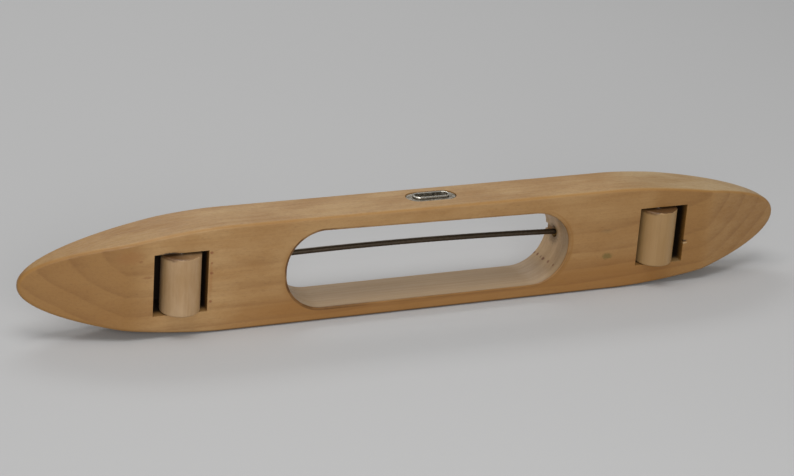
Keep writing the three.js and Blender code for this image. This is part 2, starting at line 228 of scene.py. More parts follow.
def smooth(piece: Piece) -> None:
    """Shades a finished piece smooth, with large faces kept flat.

    Args:
        piece: The finished mesh object.
    """
    activate(piece)
    bpy.ops.object.shade_smooth_by_angle(angle=SMOOTH_ANGLE)
    modifier = piece.modifiers.new("weighted", "WEIGHTED_NORMAL")
    modifier.keep_sharp = True
    bpy.ops.object.modifier_apply(modifier=modifier.name)


def block(name: str, low: Vector, high: Vector) -> Piece:
    """Adds a box between two corners.

    Args:
        name: Name of the object.
        low: Lowest corner.
        high: Highest corner.

    Returns:
        The new mesh object.
    """
    deselect_everything()
    bpy.ops.mesh.primitive_cube_add(size=1, location=(low + high) / 2, scale=high - low)
    return adopt(name)


def upright_bar(name: str, low: Vector, radius: float, length: float, sides: int) -> Piece:
    """Adds a round bar that stands along Z.

    Args:
        name: Name of the object.
        low: Centre of its lower end.
        radius: Radius of the bar.
        length: Length of the bar.
        sides: Faces round the bar.

    Returns:
        The new mesh object.
    """
    deselect_everything()
    bpy.ops.mesh.primitive_cylinder_add(
        vertices=sides, radius=radius, depth=length, location=low + Vector((0, 0, length / 2))
    )
    return adopt(name)


def seat(piece: Piece, material: Material, body: str, slot: str, *nodes: str) -> None:
    """Gives a finished piece its material and rides it on its body, in place of its plain nodes.

    Args:
        piece: The finished object.
        material: Its only material.
        body: Name of the body that it moves with.
        slot: The record's material slot; not used.
        nodes: Names of the plain nodes that it stands for.
    """
    piece.data.materials.clear()
    piece.data.materials.append(material)
    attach(piece, body)
    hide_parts(*nodes)
    log.info("%s: %d faces on %s", piece.name, len(piece.data.polygons), body)


# Node helpers


class NodeSheet:
    """Short calls that add and join the nodes of a material, world or group."""

    def __init__(self, tree: Tree) -> None:
        """Takes the node tree of a material, world or group."""
        self.tree = tree

    def add(self, kind: str, **settings: object) -> Node:
        """Adds a node.

        Args:
            kind: Name of the node's type.
            settings: Properties of the node.

        Returns:
            The new node.
        """
        node = self.tree.nodes.new(kind)
        for name, value in settings.items():
            setattr(node, name, value)
        return node

    def put(self, target: Socket, value: object) -> None:
        """Joins a socket to an input, or writes a plain value there.

        Args:
            target: Input socket.
            value: Output socket, number, vector or colour.
        """
        if isinstance(value, Socket):
            self.tree.links.new(value, target)
        elif isinstance(value, tuple) and len(value) == 3 and target.type == "RGBA":
            target.default_value = (*value, 1.0)
        else:
            target.default_value = value

    def math(self, operation: str, *values: Value, clamp: bool = False) -> Socket:
        """Computes with numbers.

        Args:
            operation: Name of the operation.
            values: Its inputs.
            clamp: Whether the result is kept between 0 and 1.

        Returns:
            The result.
        """
        node = self.add("ShaderNodeMath", operation=operation, use_clamp=clamp)
        for target, value in zip(node.inputs, values):
            self.put(target, value)
        return node.outputs[0]

    def times(self, first: Value, *others: Value) -> Socket:
        """Multiplies numbers."""
        for other in others:
            first = self.math("MULTIPLY", first, other)
        return first

    def plus(self, first: Value, *others: Value) -> Socket:
        """Adds numbers."""
        for other in others:
            first = self.math("ADD", first, other)
        return first

    def minus(self, first: Value, second: Value) -> Socket:
        """Takes the second number from the first."""
        return self.math("SUBTRACT", first, second)

    def vector(self, operation: str, *values: object) -> Socket:
        """Computes with vectors.

        Args:
            operation: Name of the operation.
            values: Its inputs. A number goes to the scale input.

        Returns:
            The result.
        """
        node = self.add("ShaderNodeVectorMath", operation=operation)
        for target, value in zip(node.inputs, values):
            if isinstance(value, float):
                target = node.inputs["Scale"]
            self.put(target, value)
        return node.outputs["Value" if operation in VALUE_OPERATIONS else "Vector"]

    def split(self, vector: Socket) -> tuple[Socket, Socket, Socket]:
        """Gives the three numbers of a vector."""
        node = self.add("ShaderNodeSeparateXYZ")
        self.put(node.inputs[0], vector)
        return node.outputs[0], node.outputs[1], node.outputs[2]

    def combine(self, x: Value, y: Value, z: Value) -> Socket:
        """Gives the vector of three numbers."""
        node = self.add("ShaderNodeCombineXYZ")
        for target, value in zip(node.inputs, (x, y, z)):
            self.put(target, value)
        return node.outputs[0]

    def ramp(self, value: Socket, start: float, end: float, low: float = 0.0, high: float = 1.0) -> Socket:
        """Turns a number smoothly from one range into another.

        Args:
            value: The number.
            start: Where the turn begins.
            end: Where it ends, on either side of the start.
            low: Result at the start.
            high: Result at the end.

        Returns:
            The result.
        """
        node = self.add("ShaderNodeMapRange", interpolation_type="SMOOTHSTEP")
        for name, number in (("From Min", start), ("From Max", end), ("To Min", low), ("To Max", high)):
            node.inputs[name].default_value = number
        self.put(node.inputs["Value"], value)
        return node.outputs["Result"]

    def band(self, value: Socket, low: float, high: float, soft: float) -> Socket:
        """Is 1 from low to high, and fades to 0 over the soft width outside them."""
        return self.times(self.ramp(value, low - soft, low), self.ramp(value, high + soft, high))

    def mix(self, factor: Value, first: object, second: object, blend: str = "MIX") -> Socket:
        """Mixes two colours.

        Args:
            factor: Share of the second colour.
            first: Colour at 0.
            second: Colour at 1.
            blend: Name of the blend.

        Returns:
            The mixed colour.
        """
        node = self.add("ShaderNodeMix", data_type="RGBA", blend_type=blend, clamp_factor=True)
        for index, value in ((0, factor), (6, first), (7, second)):
            self.put(node.inputs[index], value)
        return node.outputs[2]

    def noise(self, vector: Socket, scale: float, detail: float = 2.0, rough: float = 0.5) -> Socket:
        """Gives soft noise.

        Args:
            vector: Place in the pattern.
            scale: Waves for each unit of the place.
            detail: Number of finer layers.
            rough: Strength of the finer layers.

        Returns:
            The noise, about 0.5.
        """
        node = self.add("ShaderNodeTexNoise")
        for name, value in (("Vector", vector), ("Scale", scale), ("Detail", detail), ("Roughness", rough)):
            self.put(node.inputs[name], value)
        return node.outputs["Fac"]

    def use(self, group: Tree, **values: object) -> Sockets:
        """Places a shared node group.

        Args:
            group: The group.
            values: Its inputs, by name with _ for each space.

        Returns:
            The group's outputs.
        """
        node = self.add("ShaderNodeGroup", node_tree=group)
        for name, value in values.items():
            self.put(node.inputs[name.replace("_", " ")], value)
        return node.outputs


def new_group(
    name: str, vectors: Sequence[str], numbers: Sequence[str], outputs: Sequence[str]
) -> tuple[NodeSheet, Sockets, Sockets]:
    """Starts a shared node group.

    Args:
        name: Name of the group.
        vectors: Names of its vector inputs.
        numbers: Names of its number inputs.
        outputs: Names of its number outputs.

    Returns:
        The group's nodes, the sockets of its inputs and the sockets of its outputs.
    """
    group = bpy.data.node_groups.new(name, "ShaderNodeTree")
    sockets = [(label, "INPUT", "NodeSocketVector") for label in vectors]
    sockets += [(label, "INPUT", "NodeSocketFloat") for label in numbers]
    sockets += [(label, "OUTPUT", "NodeSocketFloat") for label in outputs]
    for label, way, kind in sockets:
        group.interface.new_socket(name=label, in_out=way, socket_type=kind)
    given = group.nodes.new("NodeGroupInput").outputs
    return NodeSheet(group), given, group.nodes.new("NodeGroupOutput").inputs


class Effects:
    """Shader effects that more than one finish uses, each built once as a node group."""

    def __init__(self) -> None:
        """Builds every group."""
        self.rings = self.build_rings()
        self.fibres = self.build_fibres()
        self.mark = self.build_mark()
        self.oblong = self.build_oblong()
        self.wear = self.build_wear()

    def build_rings(self) -> Tree:
        """Growth rings of a plank, as cut out of a tree beside its pith.

        Returns:
            A group whose Place is in millimetres and whose output is 1 on the dark late wood.
        """
        numbers = ["Pith Y", "Pith Z", "Width", "Dip", "Dip Start", "Wander"]
        sheet, given, out = new_group("growth_rings", ["Place"], numbers, ["Rings"])
        x, y, z = sheet.split(given["Place"])
        across = sheet.minus(z, given["Pith Z"])
        deep = sheet.minus(y, given["Pith Y"])
        radius = sheet.vector("LENGTH", sheet.combine(across, deep, 0.0))
        past = sheet.math("MAXIMUM", sheet.minus(x, given["Dip Start"]), 0.0)
        dip = sheet.times(sheet.math("POWER", past, 2.0), given["Dip"])
        drawn = sheet.vector("MULTIPLY", given["Place"], (0.012, 0.05, 0.05))
        wander = sheet.times(sheet.minus(sheet.noise(drawn, 1.0, 2.0), 0.5), given["Wander"])
        total = sheet.plus(radius, dip, wander)
        share = sheet.math("FRACT", sheet.math("DIVIDE", total, given["Width"]))
        late = sheet.math("POWER", share, 2.6)
        fresh = sheet.ramp(share, 1.0, 0.88)
        uneven = sheet.ramp(sheet.noise(drawn, 3.0, 3.0), 0.3, 0.7, 0.45, 1.0)
        sheet.put(out["Rings"], sheet.times(late, fresh, uneven))
        return sheet.tree

    def build_fibres(self) -> Tree:
        """Fibres, rays and cloudy figure of wood whose grain runs along X.

        Returns:
            A group whose Place is in millimetres, with masks for streaks, flecks and clouds.
        """
        sheet, given, out = new_group("wood_fibres", ["Place"], [], ["Streaks", "Flecks", "Clouds"])
        place = given["Place"]
        drawn = sheet.vector("MULTIPLY", place, (0.035, 1.0, 1.0))
        streaks = sheet.noise(drawn, 0.75, 5.0, 0.62)
        short = sheet.vector("MULTIPLY", place, (0.30, 1.4, 1.4))
        flecks = sheet.ramp(sheet.noise(short, 1.0, 2.0, 0.6), 0.62, 0.76)
        wide = sheet.vector("MULTIPLY", place, (0.35, 1.0, 1.0))
        clouds = sheet.noise(wide, 0.085, 4.0, 0.6)
        sheet.put(out["Streaks"], sheet.ramp(streaks, 0.34, 0.68))
        sheet.put(out["Flecks"], flecks)
        sheet.put(out["Clouds"], sheet.ramp(clouds, 0.34, 0.66))
        return sheet.tree

    def build_mark(self) -> Tree:
        """A small mark on a surface, such as a stain, burn or tool mark, or a painted patch of shade or
        light.

        Returns:
            A group whose output is 1 at Centre and fades to 0 at the distances of Reach.
        """
        sheet, given, out = new_group("surface_mark", ["Place", "Centre", "Reach"], [], ["Mask"])
        away = sheet.vector("SUBTRACT", given["Place"], given["Centre"])
        ragged = sheet.noise(given["Place"], 1.3, 3.0)
        distance = sheet.vector("LENGTH", sheet.vector("DIVIDE", away, given["Reach"]))
        distance = sheet.plus(distance, sheet.times(sheet.minus(ragged, 0.5), 0.8))
        sheet.put(out["Mask"], sheet.ramp(distance, 1.0, 0.35))
        return sheet.tree

    def build_oblong(self) -> Tree:
        """Distance from the outline of a rounded rectangle in X and Z.

        Returns:
            A group whose output is 0 on the outline and grows outside it.
        """
        sheet, given, out = new_group("oblong_distance", ["Place", "Half"], ["Radius"], ["Distance"])
        flat = sheet.vector("MULTIPLY", sheet.vector("ABSOLUTE", given["Place"]), (1.0, 0.0, 1.0))
        radius = given["Radius"]
        core = sheet.vector("SUBTRACT", given["Half"], sheet.combine(radius, 0.0, radius))
        past = sheet.vector("MAXIMUM", sheet.vector("SUBTRACT", flat, core), (0.0, 0.0, 0.0))
        sheet.put(out["Distance"], sheet.minus(sheet.vector("LENGTH", past), radius))
        return sheet.tree

    def build_wear(self) -> Tree:
        """Fine scratches and dull patches of handled metal.

        Returns:
            A group whose Place is in millimetres, with masks for scratches and dull patches.
        """
        sheet, given, out = new_group("metal_wear", ["Place"], [], ["Scratches", "Dull"])
        drawn = sheet.vector("MULTIPLY", given["Place"], (0.25, 4.0, 4.0))
        scratches = sheet.ramp(sheet.noise(drawn, 1.2, 4.0, 0.7), 0.5, 0.72)
        dull = sheet.ramp(sheet.noise(given["Place"], 0.9, 4.0, 0.65), 0.38, 0.66)
        sheet.put(out["Scratches"], scratches)
        sheet.put(out["Dull"], dull)
        return sheet.tree


def new_material(name: str) -> tuple[Material, NodeSheet, Node]:
    """Makes a material with a Principled shader.

    Args:
        name: Name of the material.

    Returns:
        The material, its node sheet and its shader node.
    """
    material = bpy.data.materials.new(name)
    material.use_nodes = True
    return material, NodeSheet(material.node_tree), material.node_tree.nodes["Principled BSDF"]


def place_in_mm(sheet: NodeSheet) -> Socket:
    """Gives the place on the piece in millimetres."""
    return sheet.vector("SCALE", sheet.add("ShaderNodeTexCoord").outputs["Object"], 1000.0)


def finish(
    sheet: NodeSheet, shader: Node, colour: Socket, roughness: Socket, height: Socket, depth: float
) -> None:
    """Joins a colour, a roughness and fine relief to a shader.

    Args:
        sheet: The material's nodes.
        shader: Its shader.
        colour: Its colour.
        roughness: Its roughness.
        height: Height of the relief from 0 to 1.
        depth: Real height of the relief in metres.
    """
    bump = sheet.add("ShaderNodeBump")
    for target, value in (
        (bump.inputs["Strength"], 1.0),
        (bump.inputs["Distance"], depth),
        (bump.inputs["Height"], height),
        (shader.inputs["Base Color"], colour),
        (shader.inputs["Roughness"], roughness),
        (shader.inputs["Normal"], bump.outputs["Normal"]),
    ):
        sheet.put(target, value)


@dataclass(frozen=True)
class Mark:
    """A stain, burn or tool mark on the wood, or a painted patch of shade or light, placed in millimetres.
    """

    centre: tuple[float, float, float]
    reach: tuple[float, float, float]
    colour: Colour
    strength: float


def srgb(red: int, green: int, blue: int) -> Colour:
    """Gives the linear colour of a screen colour.

    Args:
        red: Red from 0 to 255.
        green: Green from 0 to 255.
        blue: Blue from 0 to 255.

    Returns:
        The colour as a shader reads it.
    """
    shares = [value / 255 for value in (red, green, blue)]
    linear = [share / 12.92 if share <= 0.04045 else ((share + 0.055) / 1.055) ** 2.4 for share in shares]
    return linear[0], linear[1], linear[2]


# Finishes


@dataclass(frozen=True)
class BoatWood:
    """Oiled pale hardwood of the boat, with growth rings, orange rims and the marks of use, and painted
    shade, highlights, sheen and light on its rims, edges, walls and pockets.
    """

    pale: Colour = srgb(180, 144, 96)
    warm: Colour = srgb(164, 124, 74)
    late_wood: Colour = (0.60, 0.50, 0.38)
    streak: Colour = srgb(122, 84, 44)
    fleck: Colour = srgb(92, 62, 34)
    rim: Colour = srgb(142, 98, 42)
    # Painted highlight along the rounded long edges, where a flat face turns into a side wall.
    edge: Colour = srgb(158, 114, 54)
    low_strip: Colour = srgb(144, 96, 36)
    inside: Colour = srgb(172, 146, 112)
    # Paler end grain of the opening's right end wall, brightened further by painted light, as if lit from
    # the left.
    end_grain_and_light: Colour = srgb(208, 177, 137)
    # Painted shade along the opening's eased near rim, which turns down into the opening.
    rim_shade: Colour = srgb(92, 56, 8)
    # Painted contact shade along the lower long edge, where the body meets the floor.
    contact_shade: Colour = srgb(64, 42, 18)
    # Painted shade deep inside the roller pockets, near black, partly dirt; pocket_rim is the wood's brown
    # near their mouths.
    pocket: Colour = srgb(18, 11, 6)
    pocket_rim: Colour = srgb(124, 86, 36)
    # Painted light on the side walls: the first two tints are painted shade, darker and yellower to the
    # left, and the right one is a greyer painted sheen.
    side_wall_shade: Colour = (0.93, 0.95, 0.97)
    side_wall_left_shade: Colour = (0.81, 0.77, 0.64)
    side_wall_right_sheen: Colour = (0.94, 1.06, 1.24)
    end_tint: Colour = (0.74, 0.64, 0.45)
    speckle_tint: Colour = (0.72, 0.66, 0.60)
    step_tint: Colour = (0.66, 0.58, 0.50)
    ring_width: float = 4.6
    pith: tuple[float, float] = (-69.5, 54.0)
    ring_dip: float = 0.0004
    ring_dip_start: float = 60.0
    relief: float = 0.03 * MM
    ring_wander: float = 3.0
    evened: float = 0.75
    speckled: float = 0.2
    speckled_side: float = 0.18
    inside_strength: float = 0.85
    ring_strength: float = 0.60
    ring_calmed: float = 0.44
    streak_strength: float = 0.15
    streak_calmed: float = 0.10
    fleck_strength: float = 0.22
    contact_shade_strength: float = 0.7
    glow_strength: float = 0.6
    pocket_shade_strength: float = 0.97
    pocket_lit: float = 0.75
    right_pocket_share: float = 0.36
    roughness: tuple[float, float] = (0.42, 0.58)

    # Where a mask turns: its start and end, and its values there if they aren't 0 and 1. A band has its
    # low end, its high end and the width of its fade. Places are in millimetres, and so are the offsets
    # from a pocket's walls and floor. SIDE_WALL and LONG_EDGE turn with the normal, and SPECKLES, STEPS
    # and UNEVEN with noise.
    BEHIND_OUTLINE = (0.35, 0.05)
    BEHIND_FACE = (-9.4, -8.7)
    AT_FACE = (-8.7, -9.4)
    SIDE_WALL = (0.55, 0.92)
    LONG_EDGE = (0.3, 1.0, 0.0, 0.5)
    LEFT_NOSE = (-128.0, -148.0)
    LEFT_OF_OPENING = (-106.0, -84.0, 0.0, 0.3)
    RIGHT_OF_OPENING = (50.0, 120.0, 0.0, 0.34)
    RIGHT_POCKET_BAND = (120.0, 142.0, 8.0)
    LEFT_SIDE_SHADE_ALONG = (-110.0, -150.0)
    RIGHT_SIDE_SHEEN_ALONG = (85.0, 125.0)
    SPECKLES = (0.46, 0.66)
    LOW_STRIP_HEIGHT = (22.0, 8.0)
    LOW_STRIP_LEFT = (-112.0, -68.0, 0.1, 0.72)
    LOW_STRIP_RIGHT = (136.0, 116.0)
    CONTACT_SHADE_HEIGHT = (1.4, 0.5)
    CONTACT_SHADE_ALONG = (140.0, 110.0)
    END_WALL_ALONG = (62.0, 70.0)
    END_WALL_DEPTH = (-6.0, 2.0)
    STEPS = (0.42, 0.62)
    STEPS_ALONG = (40.0, 62.0, 0.12, 0.34)
    UNEVEN = (0.35, 0.65, 0.45, 1.0)
    RIM_ENDS = (48.0, 66.0, 0.25, 1.0)
    RIM_HEIGHT = (40.0, 34.0)
    GLOW_REACH = (4.0, 0.6)
    SECOND_LINE_BAND = (1.6, 2.2, 0.4)
    SECOND_LINE_ALONG = (55.0, 66.0, 0.0, 0.5)
    RIM_SHADE_BAND = (-0.6, 0.95, 0.35)
    RIM_SHADE_DEPTH = (-8.2, -9.0)
    RIM_SHADE_ALONG = (-20.0, -58.0, 0.25, 1.0)
    POCKET_SHADE_DEPTH = (-4.5, -9.6)
    POCKET_FADE = (0.25, 0.05)
    POCKET_DEPTH_BAND = (-8.7, 8.5, 0.8)
    POCKET_FLOOR = (1.0, 0.3)
    POCKET_LIT_DEPTH = (-3.0, -8.0)

    MARKS = (
        Mark((-144.0, -8.8, 40.0), (9.0, 3.5, 4.5), srgb(146, 98, 50), 0.45),
        Mark((-107.2, -9.7, 26.0), (1.4, 1.5, 12.0), srgb(150, 98, 46), 0.4),
        Mark((-107.1, -9.7, 39.0), (1.2, 1.5, 0.9), srgb(122, 66, 30), 0.75),
        Mark((-106.9, -9.7, 34.0), (0.8, 1.5, 0.6), srgb(122, 66, 30), 0.6),
        Mark((-106.9, -9.7, 29.2), (1.2, 1.5, 0.9), srgb(122, 66, 30), 0.75),
        Mark((-106.9, -9.7, 15.4), (1.1, 1.5, 0.9), srgb(122, 66, 30), 0.7),
        Mark((90.8, -9.7, 30.5), (4.0, 2.0, 1.4), srgb(118, 96, 62), 0.3),
        Mark((92.3, -9.7, 17.5), (3.8, 2.0, 2.0), srgb(88, 82, 30), 0.6),
        # A chip at the right pocket's rim: painted shade in its groove, and below it a painted highlight on
        # its lip.
        Mark((134.0, -9.5, 21.4), (2.2, 2.0, 0.7), srgb(48, 28, 12), 0.9),
        Mark((134.4, -9.5, 20.3), (1.6, 2.0, 0.5), srgb(206, 182, 142), 0.55),
        Mark((-136.2, -9.5, 30.0), (3.0, 2.0, 0.8), srgb(126, 80, 38), 0.5),
        Mark((-139.6, -9.2, 37.8), (1.3, 3.0, 0.8), srgb(124, 78, 40), 0.45),
        # Painted shadow along the top rim of the left pocket.
        Mark((-126.5, -9.9, 40.1), (7.0, 1.2, 1.1), srgb(30, 18, 8), 0.95),
        Mark((71.2, 6.2, 25.0), (4.0, 6.5, 6.5), srgb(88, 62, 26), 0.7),
        Mark((66.0, 14.5, 12.3), (1.4, 1.1, 1.0), srgb(112, 58, 24), 0.85),
        Mark((66.2, 11.4, 12.5), (1.4, 1.0, 1.0), srgb(112, 58, 24), 0.8),
        Mark((66.3, 8.0, 12.5), (1.3, 0.8, 0.9), srgb(112, 58, 24), 0.6),
        Mark((66.3, 5.5, 12.5), (1.6, 1.5, 1.1), srgb(104, 54, 24), 0.85),
        Mark((66.6, 0.8, 12.9), (1.4, 1.1, 1.0), srgb(112, 58, 24), 0.7),
        Mark((66.8, -4.1, 13.1), (1.4, 0.9, 1.0), srgb(112, 58, 24), 0.6),
    )

    def make(self, effects: Effects, boat: "Boat") -> Material:
        """Makes the material.

        Args:
            effects: The shared node groups.
            boat: The sizes that the rims and pockets follow.

        Returns:
            The material.
        """
        material, sheet, shader = new_material("boat_wood")
        place = place_in_mm(sheet)
        x, y, z = sheet.split(place)
        streaks, flecks, clouds = sheet.use(effects.fibres, Place=place)
        rings = sheet.use(
            effects.rings, Place=place, Pith_Y=self.pith[0], Pith_Z=self.pith[1], Width=self.ring_width,
            Dip=self.ring_dip, Dip_Start=self.ring_dip_start, Wander=self.ring_wander,
        )["Rings"]
        reach = self.opening_distance(sheet, effects, boat, place)
        side, edge = self.face_masks(sheet)
        inside = sheet.times(sheet.ramp(reach, *self.BEHIND_OUTLINE), sheet.ramp(y, *self.BEHIND_FACE))
        outside = sheet.minus(1.0, inside)
        side = sheet.times(side, outside)
        end = sheet.times(self.nose_mask(sheet, x), sheet.minus(1.0, side))
        evened = sheet.times(end, self.evened, sheet.minus(0.5, clouds))
        colour = sheet.mix(sheet.plus(clouds, evened), self.warm, self.pale)
        # Painted shade and sheen of the side walls, which change along X.
        tint = sheet.mix(sheet.ramp(x, *self.LEFT_SIDE_SHADE_ALONG), self.side_wall_shade, self.side_wall_left_shade)
        tint = sheet.mix(sheet.ramp(x, *self.RIGHT_SIDE_SHEEN_ALONG), tint, self.side_wall_right_sheen)
        speckles = sheet.noise(sheet.vector("MULTIPLY", place, (0.5, 1.0, 1.0)), 1.3, 2.0)
        speckled = sheet.plus(self.speckled, sheet.times(side, self.speckled_side))
        speckles = sheet.times(sheet.ramp(speckles, *self.SPECKLES), speckled)
        low = sheet.times(sheet.ramp(z, *self.LOW_STRIP_HEIGHT), sheet.ramp(x, *self.LOW_STRIP_LEFT))
        low = sheet.times(low, sheet.ramp(x, *self.LOW_STRIP_RIGHT), outside)
        plain = sheet.math("MAXIMUM", side, inside)
        kept = sheet.minus(self.ring_strength, sheet.times(plain, self.ring_calmed))
        calmed = sheet.times(sheet.math("MAXIMUM", plain, end), self.streak_calmed)
        streaked = sheet.minus(self.streak_strength, calmed)
        # Painted contact shade along the lower long edge, where the body meets the floor.
        foot = sheet.ramp(sheet.math("ABSOLUTE", x), *self.CONTACT_SHADE_ALONG)
        foot = sheet.times(sheet.ramp(z, *self.CONTACT_SHADE_HEIGHT), foot, self.contact_shade_strength)
        for mask, tone, blend in (
            (side, tint, "MULTIPLY"),
            (end, self.end_tint, "MULTIPLY"),
            (speckles, self.speckle_tint, "MULTIPLY"),
            (low, self.low_strip, "MIX"),
            (sheet.times(inside, self.inside_strength), self.inner_wall(sheet, place), "MIX"),
            (sheet.times(rings, kept), self.late_wood, "MULTIPLY"),
            (sheet.times(streaks, streaked), self.streak, "MIX"),
            (sheet.times(flecks, self.fleck_strength), self.fleck, "MIX"),
            # painted highlight on the rounded long edges
            (edge, self.edge, "MIX"),
            # painted contact shade
            (foot, self.contact_shade, "MIX"),
        ):
            colour = sheet.mix(mask, colour, tone, blend)
        colour = self.rim_lines(sheet, colour, reach, place)
        # Painted shade in the roller pockets, deepening from the brown at their mouths to near black, partly
        # dirt.
        pocket = sheet.mix(sheet.ramp(y, *self.POCKET_SHADE_DEPTH), self.pocket, self.pocket_rim)
        colour = sheet.mix(self.pocket_shade_mask(sheet, boat, place), colour, pocket)
        for mark in self.MARKS:
            spot = sheet.use(effects.mark, Place=place, Centre=mark.centre, Reach=mark.reach)["Mask"]
            colour = sheet.mix(sheet.times(spot, mark.strength), colour, mark.colour)
        height = sheet.minus(sheet.minus(1.0, sheet.times(streaks, 0.5)), sheet.times(flecks, 0.5))
        finish(sheet, shader, colour, sheet.ramp(streaks, 0.0, 1.0, *self.roughness), height, self.relief)
        return material

    def nose_mask(self, sheet: NodeSheet, x: Socket) -> Socket:
        """Gives a mask of both ends of the shuttle, where the wood is darker and yellower."""
        turns = (self.LEFT_NOSE, self.LEFT_OF_OPENING, self.RIGHT_OF_OPENING)
        pocket = sheet.times(sheet.band(x, *self.RIGHT_POCKET_BAND), self.right_pocket_share)
        return sheet.plus(*[sheet.ramp(x, *turn) for turn in turns], pocket)

    def inner_wall(self, sheet: NodeSheet, place: Socket) -> Socket:
        """Gives the colour of the opening's walls, with the cutter's steps across them, and paler end grain
        with painted light on the right end wall.
        """
        x, y, _ = sheet.split(place)
        # Painted light and paler end grain on the right end wall.
        lit_end_wall = sheet.times(sheet.ramp(x, *self.END_WALL_ALONG), sheet.ramp(y, *self.END_WALL_DEPTH))
        inner = sheet.mix(lit_end_wall, self.inside, self.end_grain_and_light)
        steps = sheet.noise(sheet.vector("MULTIPLY", place, (0.02, 0.6, 0.02)), 1.0, 3.0)
        steps = sheet.times(sheet.ramp(steps, *self.STEPS), sheet.ramp(x, *self.STEPS_ALONG))
        return sheet.mix(steps, inner, self.step_tint, "MULTIPLY")

    @staticmethod
    def opening_distance(sheet: NodeSheet, effects: Effects, boat: "Boat", place: Socket) -> Socket:
        """Distance in millimetres from the opening's outline, growing outside it."""
        half = (boat.opening_length / 2 / MM, 0.0, boat.opening_width / 2 / MM)
        x, _, z = sheet.split(sheet.vector("SUBTRACT", place, (0.0, 0.0, boat.width / 2 / MM)))
        slant = boat.opening_taper / MM / half[2] / (2 * half[0])
        kept = sheet.minus(1.0, sheet.times(sheet.plus(x, half[0]), slant))
        above = sheet.math("DIVIDE", sheet.math("MAXIMUM", z, 0.0), kept)
        untapered = sheet.combine(x, 0.0, sheet.plus(above, sheet.math("MINIMUM", z, 0.0)))
        radius = boat.opening_radius / MM
        return sheet.use(effects.oblong, Place=untapered, Half=half, Radius=radius)["Distance"]

    def face_masks(self, sheet: NodeSheet) -> tuple[Socket, Socket]:
        """Gives a mask of the side walls, and one of the turn from a flat face into a side wall, where a
        highlight is painted.
        """
        _, slope, upward = sheet.split(sheet.add("ShaderNodeTexCoord").outputs["Normal"])
        side = sheet.ramp(sheet.math("ABSOLUTE", upward), *self.SIDE_WALL)
        square = sheet.times(slope, slope)
        turned = sheet.times(square, sheet.minus(1.0, square), 4.0)
        return side, sheet.ramp(turned, *self.LONG_EDGE)

    def rim_lines(self, sheet: NodeSheet, colour: Socket, reach: Socket, place: Socket) -> Socket:
        """Adds the orange glow, its second line at the right, and a line of painted shade to the opening's
        eased near rim.

        Args:
            sheet: The material's nodes.
            colour: Colour so far.
            reach: Distance from the opening's outline.
            place: Place on the piece.

        Returns:
            The colour with the rim.
        """
        x, y, z = sheet.split(place)
        near = sheet.ramp(y, *self.AT_FACE)
        uneven = sheet.ramp(sheet.noise(place, 0.12, 2.0), *self.UNEVEN)
        ends = sheet.ramp(sheet.math("ABSOLUTE", x), *self.RIM_ENDS)
        below = sheet.ramp(z, *self.RIM_HEIGHT)
        glow = sheet.ramp(reach, *self.GLOW_REACH)
        glow = sheet.times(glow, near, below, uneven, ends, self.glow_strength)
        colour = sheet.mix(glow, colour, self.rim)
        along = sheet.ramp(x, *self.SECOND_LINE_ALONG)
        second = sheet.times(sheet.band(reach, *self.SECOND_LINE_BAND), near, along)
        colour = sheet.mix(second, colour, self.rim)
        # Painted shade along the eased near rim.
        line = sheet.times(sheet.band(reach, *self.RIM_SHADE_BAND), sheet.ramp(y, *self.RIM_SHADE_DEPTH))
        line = sheet.times(line, uneven, sheet.ramp(x, *self.RIM_SHADE_ALONG))
        return sheet.mix(line, colour, self.rim_shade)

    def pocket_shade_mask(self, sheet: NodeSheet, boat: "Boat", place: Socket) -> Socket:
        """Is high on the walls inside both roller pockets, where painted shade and dirt darken them, and
        lower on the painted light of their floors near the face.
        """
        x, y, z = sheet.split(place)
        middle = boat.width / 2 / MM
        half_length = boat.pocket_length / 2 / MM
        half_width = boat.pocket_width / 2 / MM
        along = sheet.math("ABSOLUTE", sheet.minus(sheet.math("ABSOLUTE", x), boat.pocket_x / MM))
        across = sheet.math("ABSOLUTE", sheet.minus(z, middle))
        within = sheet.ramp(along, *[half_length + fade for fade in self.POCKET_FADE])
        beside = sheet.ramp(across, *[half_width + fade for fade in self.POCKET_FADE])
        deep = sheet.band(y, *self.POCKET_DEPTH_BAND)
        lit = sheet.ramp(z, *[middle - half_width + height for height in self.POCKET_FLOOR])
        lit = sheet.times(lit, sheet.ramp(y, *self.POCKET_LIT_DEPTH))
        dark = sheet.minus(self.pocket_shade_strength, sheet.times(lit, self.pocket_lit))
        return sheet.times(within, beside, deep, dark)


